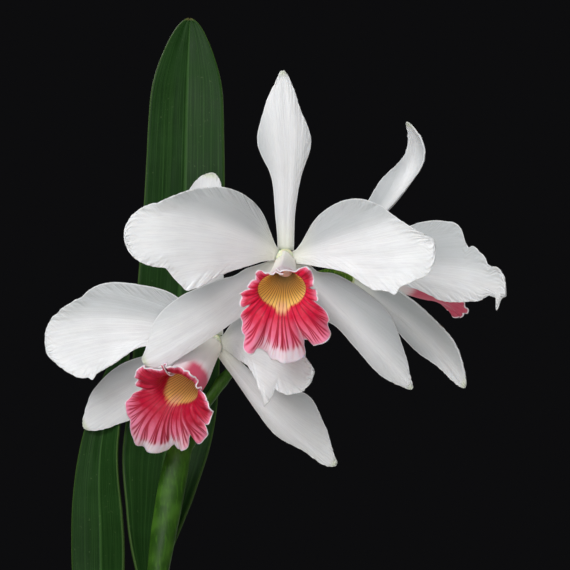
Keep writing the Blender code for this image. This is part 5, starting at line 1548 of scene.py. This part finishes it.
class ORCHID_OT_pseudobulbs(bpy.types.Operator):
    """Make the furrowed pseudobulbs, with rings, and the papery sheaths round their feet"""

    bl_idname = "orchid.make_pseudobulbs"
    bl_label = "Pseudobulbs"

    def execute(self, context):
        skin = bulb_material()
        paper = papery_material("papery_sheath", (0.52, 0.46, 0.34), (0.30, 0.22, 0.13))
        tree = sweep_tree()
        values = {
            "Sides": 72, "Ribs": float(BULB_RIBS), "Rib Depth": 1.6 * BULB_RIB_DEPTH,
            "Knobble Depth": 0.5 * MM, "Knobble Scale": 90.0, "Material": skin,
        }
        count = 120
        share = np.linspace(0, 1, count)
        for order, (name, spec) in enumerate(BULBS.items()):
            points, radii = bulb_line(spec, count)
            for place in BULB_RINGS:
                radii = radii + 0.45 * MM * np.exp(-(((share - place) / 0.008) ** 2))
            points, radii = shouldered(points, radii)
            bulb = swept(f"{name}_spindle", points, radii, tree, values)
            wraps = [self.wrap(f"{name}_wrap_{k}", spec, low, high, 20 * order + k, paper)
                     for k, (low, high) in enumerate(BULB_WRAPS)]
            piece = merged(f"{name}_body", [welded(bulb), *wraps])
            stands_for(piece, name)
        return {"FINISHED"}

    def wrap(self, name, spec, low, high, seed, paper):
        """Dry sheath round a pseudobulb between two shares of its height, torn along its top."""
        points, radii = bulb_line(spec, 200)
        t = np.linspace(0, 1, 26)[:, None]
        angle = np.linspace(0, math.tau, 90)[None, :] + 0.7 * seed
        tear = 1 + 0.3 * ruffle(np.degrees(angle) * 0.16, seed)
        share = low + (high - low) * t * np.clip(tear, 0.45, 1.3)
        at = share * (len(radii) - 1)
        step = np.arange(len(radii))
        waves = 0.35 * MM * ruffle(np.degrees(angle) * 0.5, seed + 1) * t
        lap = 0.5 * MM * (angle - angle[:, :1]) / math.tau
        reach = np.interp(at, step, radii) + 0.75 * MM + 0.5 * MM * t**2 + waves + lap
        centre = np.stack([np.interp(at, step, points[:, k]) for k in range(3)], axis=-1)
        ring = np.stack([np.cos(angle), np.sin(angle), 0 * angle], axis=-1)
        sheet = grid_object(name, centre + reach[..., None] * ring, [paper])
        return made_real(sheet, thickness=0.3 * MM)


class ORCHID_OT_roots(bpy.types.Operator):
    """Make the creeping rhizome, its dry scales and its roots"""

    bl_idname = "orchid.make_roots"
    bl_label = "Rhizome and roots"

    def execute(self, context):
        wood = papery_material("rhizome_scale", (0.34, 0.33, 0.20), (0.20, 0.15, 0.08), lengthwise=False)
        velamen = root_material()
        tree = sweep_tree()
        route = [(x, y, RHIZOME_HEIGHT / MM) for x, y in RHIZOME_ROUTE]
        count = 130
        points = smooth_route(route, count)
        from_end = np.minimum(np.arange(count), np.arange(count)[::-1]) * 14 / count
        swell = 1 + 0.06 * np.abs(np.sin(np.linspace(0, 20, count)))
        radii = RHIZOME_RADIUS * swell * np.minimum(1, np.sqrt(0.2 + 0.8 * np.minimum(1, from_end)))
        values = {"Sides": 40, "Knobble Depth": 0.8 * MM, "Knobble Scale": 160.0, "Material": wood}
        made = [swept("rhizome_stock", points, radii, tree, values)]
        values = {"Sides": 16, "Knobble Depth": 0.35 * MM, "Knobble Scale": 260.0, "Material": velamen}
        for i, root in enumerate(ROOT_ROUTES):
            path = smooth_route(root, 70)
            width = np.linspace(*ROOT_RADII, 70)
            width[-4:] *= (0.95, 0.85, 0.65, 0.3)
            made.append(swept(f"root_{i}", path, width, tree, values))
        piece = merged("rhizome_and_roots", made)
        stands_for(piece, "rhizome_roots")
        return {"FINISHED"}


class ORCHID_OT_pot(bpy.types.Operator):
    """Make the terracotta pot, with its band, rounded rim and drain holes"""

    bl_idname = "orchid.make_pot"
    bl_label = "Pot"

    def execute(self, context):
        given = context.scene.orchid_pot
        clay = clay_material(tuple(given.clay), tuple(given.lime))
        band = POT_HEIGHT - POT_BAND
        edge = POT_EDGE
        inner = POT_RIM_RADIUS - POT_BAND_STEP - POT_WALL
        corner = [math.radians(a) for a in (0, 22, 45, 68, 90)]
        inside_rim = [(inner + edge - edge * math.cos(a), POT_HEIGHT - edge + edge * math.sin(a))
                      for a in corner]
        outside_rim = [(POT_RIM_RADIUS - edge + edge * math.sin(a), POT_HEIGHT - edge + edge * math.cos(a))
                       for a in corner]
        profile = densified([
            (0.0, POT_FLOOR),
            (pot_radius(POT_FLOOR) - POT_WALL, POT_FLOOR),
            *inside_rim, *outside_rim,
            (POT_RIM_RADIUS - POT_BAND_TAPER, band + edge),
            (POT_RIM_RADIUS - 1.4 * POT_BAND_TAPER, band + 0.3 * edge),
            (POT_RIM_RADIUS - 2 * POT_BAND_TAPER, band),
            (pot_radius(band) + 0.2 * MM, band),
            (pot_radius(band - 0.6 * MM), band - 0.6 * MM),
            (pot_radius(edge), edge),
            (POT_FOOT_RADIUS - 0.4 * edge, 0.3 * edge),
            (POT_FOOT_RADIUS - edge, 0.0),
            (0.0, 0.0),
        ], 3 * MM)
        rough = turned("pot_turned", profile, given.sides, clay)
        cutters = bpy.data.collections.new("drain_cutters")
        for i in range(DRAIN_HOLES):
            turn = math.tau * (i + 0.5) / DRAIN_HOLES
            spot = (DRAIN_CIRCLE * math.cos(turn), DRAIN_CIRCLE * math.sin(turn), POT_FLOOR / 2)
            bm = bmesh.new()
            bmesh.ops.create_cone(bm, cap_ends=True, segments=40, radius1=DRAIN_RADIUS,
                                  radius2=DRAIN_RADIUS, depth=3 * POT_FLOOR,
                                  matrix=Matrix.Translation(spot))
            mesh = bpy.data.meshes.new("drain_cutter")
            bm.to_mesh(mesh)
            bm.free()
            cutters.objects.link(bpy.data.objects.new("drain_cutter", mesh))
        drill = rough.modifiers.new("Drill", "BOOLEAN")
        drill.operand_type = "COLLECTION"
        drill.collection = cutters
        drill.solver = "EXACT"
        piece = made_real(rough)
        for cutter in list(cutters.objects):
            bpy.data.objects.remove(cutter, do_unlink=True)
        bpy.data.collections.remove(cutters)
        piece.data.set_sharp_from_angle(angle=math.radians(45))
        stands_for(piece, "pot")
        return {"FINISHED"}


class ORCHID_OT_bark(bpy.types.Operator):
    """Fill the pot with bark, with loose chips and moss on its top"""

    bl_idname = "orchid.make_bark"
    bl_label = "Bark and moss"

    def execute(self, context):
        given = context.scene.orchid_pot
        bark = bark_material()
        moss = moss_material()
        inset = POT_WALL + GAP
        bottom = POT_FLOOR + GAP
        surface = BARK_TOP - 3 * MM
        profile = densified([
            (0.0, surface), (pot_radius(surface) - inset, surface),
            (pot_radius(bottom) - inset, bottom), (0.0, bottom)], 4 * MM)
        made = [turned("bark_fill", profile, 96, bark)]
        tree = scatter_tree()
        for layer, (height, seed) in enumerate(((surface, 3), (BARK_TOP - 1.2 * MM, 8))):
            reach = pot_radius(height) - inset - 7 * MM
            disc = densified([(0.0, height), (reach, height)], 6 * MM)
            ground = turned(f"chip_ground_{layer}", disc, 48, bark)
            made.append(made_real(ground, tree, {
                "Density": given.chip_density, "Spacing": 5.5 * MM, "Seed": seed, "Tilt": 0.45,
                "Material": bark}))
        for number, (x, y, reach) in enumerate(MOSS_PATCHES):
            disc = [(0.0, MOSS_HEIGHT), (reach * MM, MOSS_HEIGHT)]
            ground = turned(f"moss_ground_{number}", disc, 16, moss)
            ground.data.transform(Matrix.Translation((x * MM, y * MM, 0.0)))
            made.append(made_real(ground, tree, {
                "Density": given.moss_density, "Spacing": 2 * MM, "Block": (4 * MM, 4 * MM, 3 * MM),
                "Tilt": 0.6, "Wear Depth": 2 * MM, "Wear Scale": 450.0, "Seed": 20 + number,
                "Material": moss}))
        piece = merged("bark_chips", made)
        stands_for(piece, "bark_medium")
        return {"FINISHED"}


class ORCHID_OT_stage(bpy.types.Operator):
    """Set the floor, the lamps and the camera"""

    bl_idname = "orchid.make_stage"
    bl_label = "Stage"

    def execute(self, context):
        given = context.scene.orchid_stage
        mesh = bpy.data.meshes.new("studio_floor")
        bm = bmesh.new()
        bmesh.ops.create_circle(bm, cap_ends=True, segments=128, radius=given.floor_radius)
        bm.to_mesh(mesh)
        bm.free()
        mesh.materials.append(floor_material(tuple(given.floor_colour)))
        floor = bpy.data.objects.new("studio_floor", mesh)
        floor.location.z = -0.2 * MM
        context.scene.collection.objects.link(floor)
        world = bpy.data.worlds.new("studio_air")
        world.use_nodes = True
        world.node_tree.nodes["Background"].inputs["Color"].default_value = (*given.backdrop, 1.0)
        context.scene.world = world
        for name, (place, width, power) in LAMPS.items():
            self.lamp(name, Vector(place), width, getattr(given, power))
        camera = bpy.data.cameras.new("studio_camera")
        camera.sensor_width = 36.0
        camera.lens = camera.sensor_width / (PHOTO_PIXELS * PIXEL_AT_METRE)
        camera.clip_start = 0.05
        seat = bpy.data.objects.new("studio_camera", camera)
        seat.location = CAMERA_PLACE
        seat.rotation_euler = (math.pi / 2, 0.0, 0.0)
        context.scene.collection.objects.link(seat)
        context.scene.camera = seat
        context.scene.view_settings.view_transform = "Standard"
        return {"FINISHED"}

    def lamp(self, name, place, width, power):
        """Soft round lamp at a place, turned to the lamps' target."""
        light = bpy.data.lights.new(name, "AREA")
        light.shape = "DISK"
        light.size = width
        light.energy = power
        lamp = bpy.data.objects.new(name, light)
        lamp.location = place
        lamp.rotation_mode = "QUATERNION"
        lamp.rotation_quaternion = (Vector(LAMP_TARGET) - place).to_track_quat("-Z", "Y")
        bpy.context.scene.collection.objects.link(lamp)


class ORCHID_PT_panel(bpy.types.Panel):
    """Lists the makers of the orchid's pieces"""

    bl_idname = "ORCHID_PT_panel"
    bl_label = "Orchid"
    bl_space_type = "VIEW_3D"
    bl_region_type = "UI"
    bl_category = "Orchid"

    def draw(self, context):
        for maker in MAKERS:
            self.layout.operator(maker.bl_idname)
        for group in GROUPS:
            settings = getattr(context.scene, group)
            for key in settings.bl_rna.properties.keys():
                if key not in ("rna_type", "name"):
                    self.layout.prop(settings, key)


MAKERS = (
    ORCHID_OT_tepals, ORCHID_OT_lips, ORCHID_OT_columns, ORCHID_OT_stalks, ORCHID_OT_sheath, ORCHID_OT_leaves,
    ORCHID_OT_pseudobulbs, ORCHID_OT_roots, ORCHID_OT_pot, ORCHID_OT_bark, ORCHID_OT_stage,
)
GROUPS = {
    "orchid_blooms": OrchidBloomSettings,
    "orchid_plant": OrchidPlantSettings,
    "orchid_pot": OrchidPotSettings,
    "orchid_stage": OrchidStageSettings,
}


def register():
    """Add the settings, the operators and the panel."""
    for made in (*GROUPS.values(), *MAKERS, ORCHID_PT_panel):
        bpy.utils.register_class(made)
    for name, group in GROUPS.items():
        setattr(bpy.types.Scene, name, PointerProperty(type=group))


def unregister():
    """Take them away again."""
    for name in GROUPS:
        delattr(bpy.types.Scene, name)
    for made in reversed((*GROUPS.values(), *MAKERS, ORCHID_PT_panel)):
        bpy.utils.unregister_class(made)


def main():
    """Make every piece and the stage."""
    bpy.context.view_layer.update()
    register()
    for maker in MAKERS:
        group, operator = maker.bl_idname.split(".")
        getattr(getattr(bpy.ops, group), operator)()


if __name__ == "__main__":
    main()
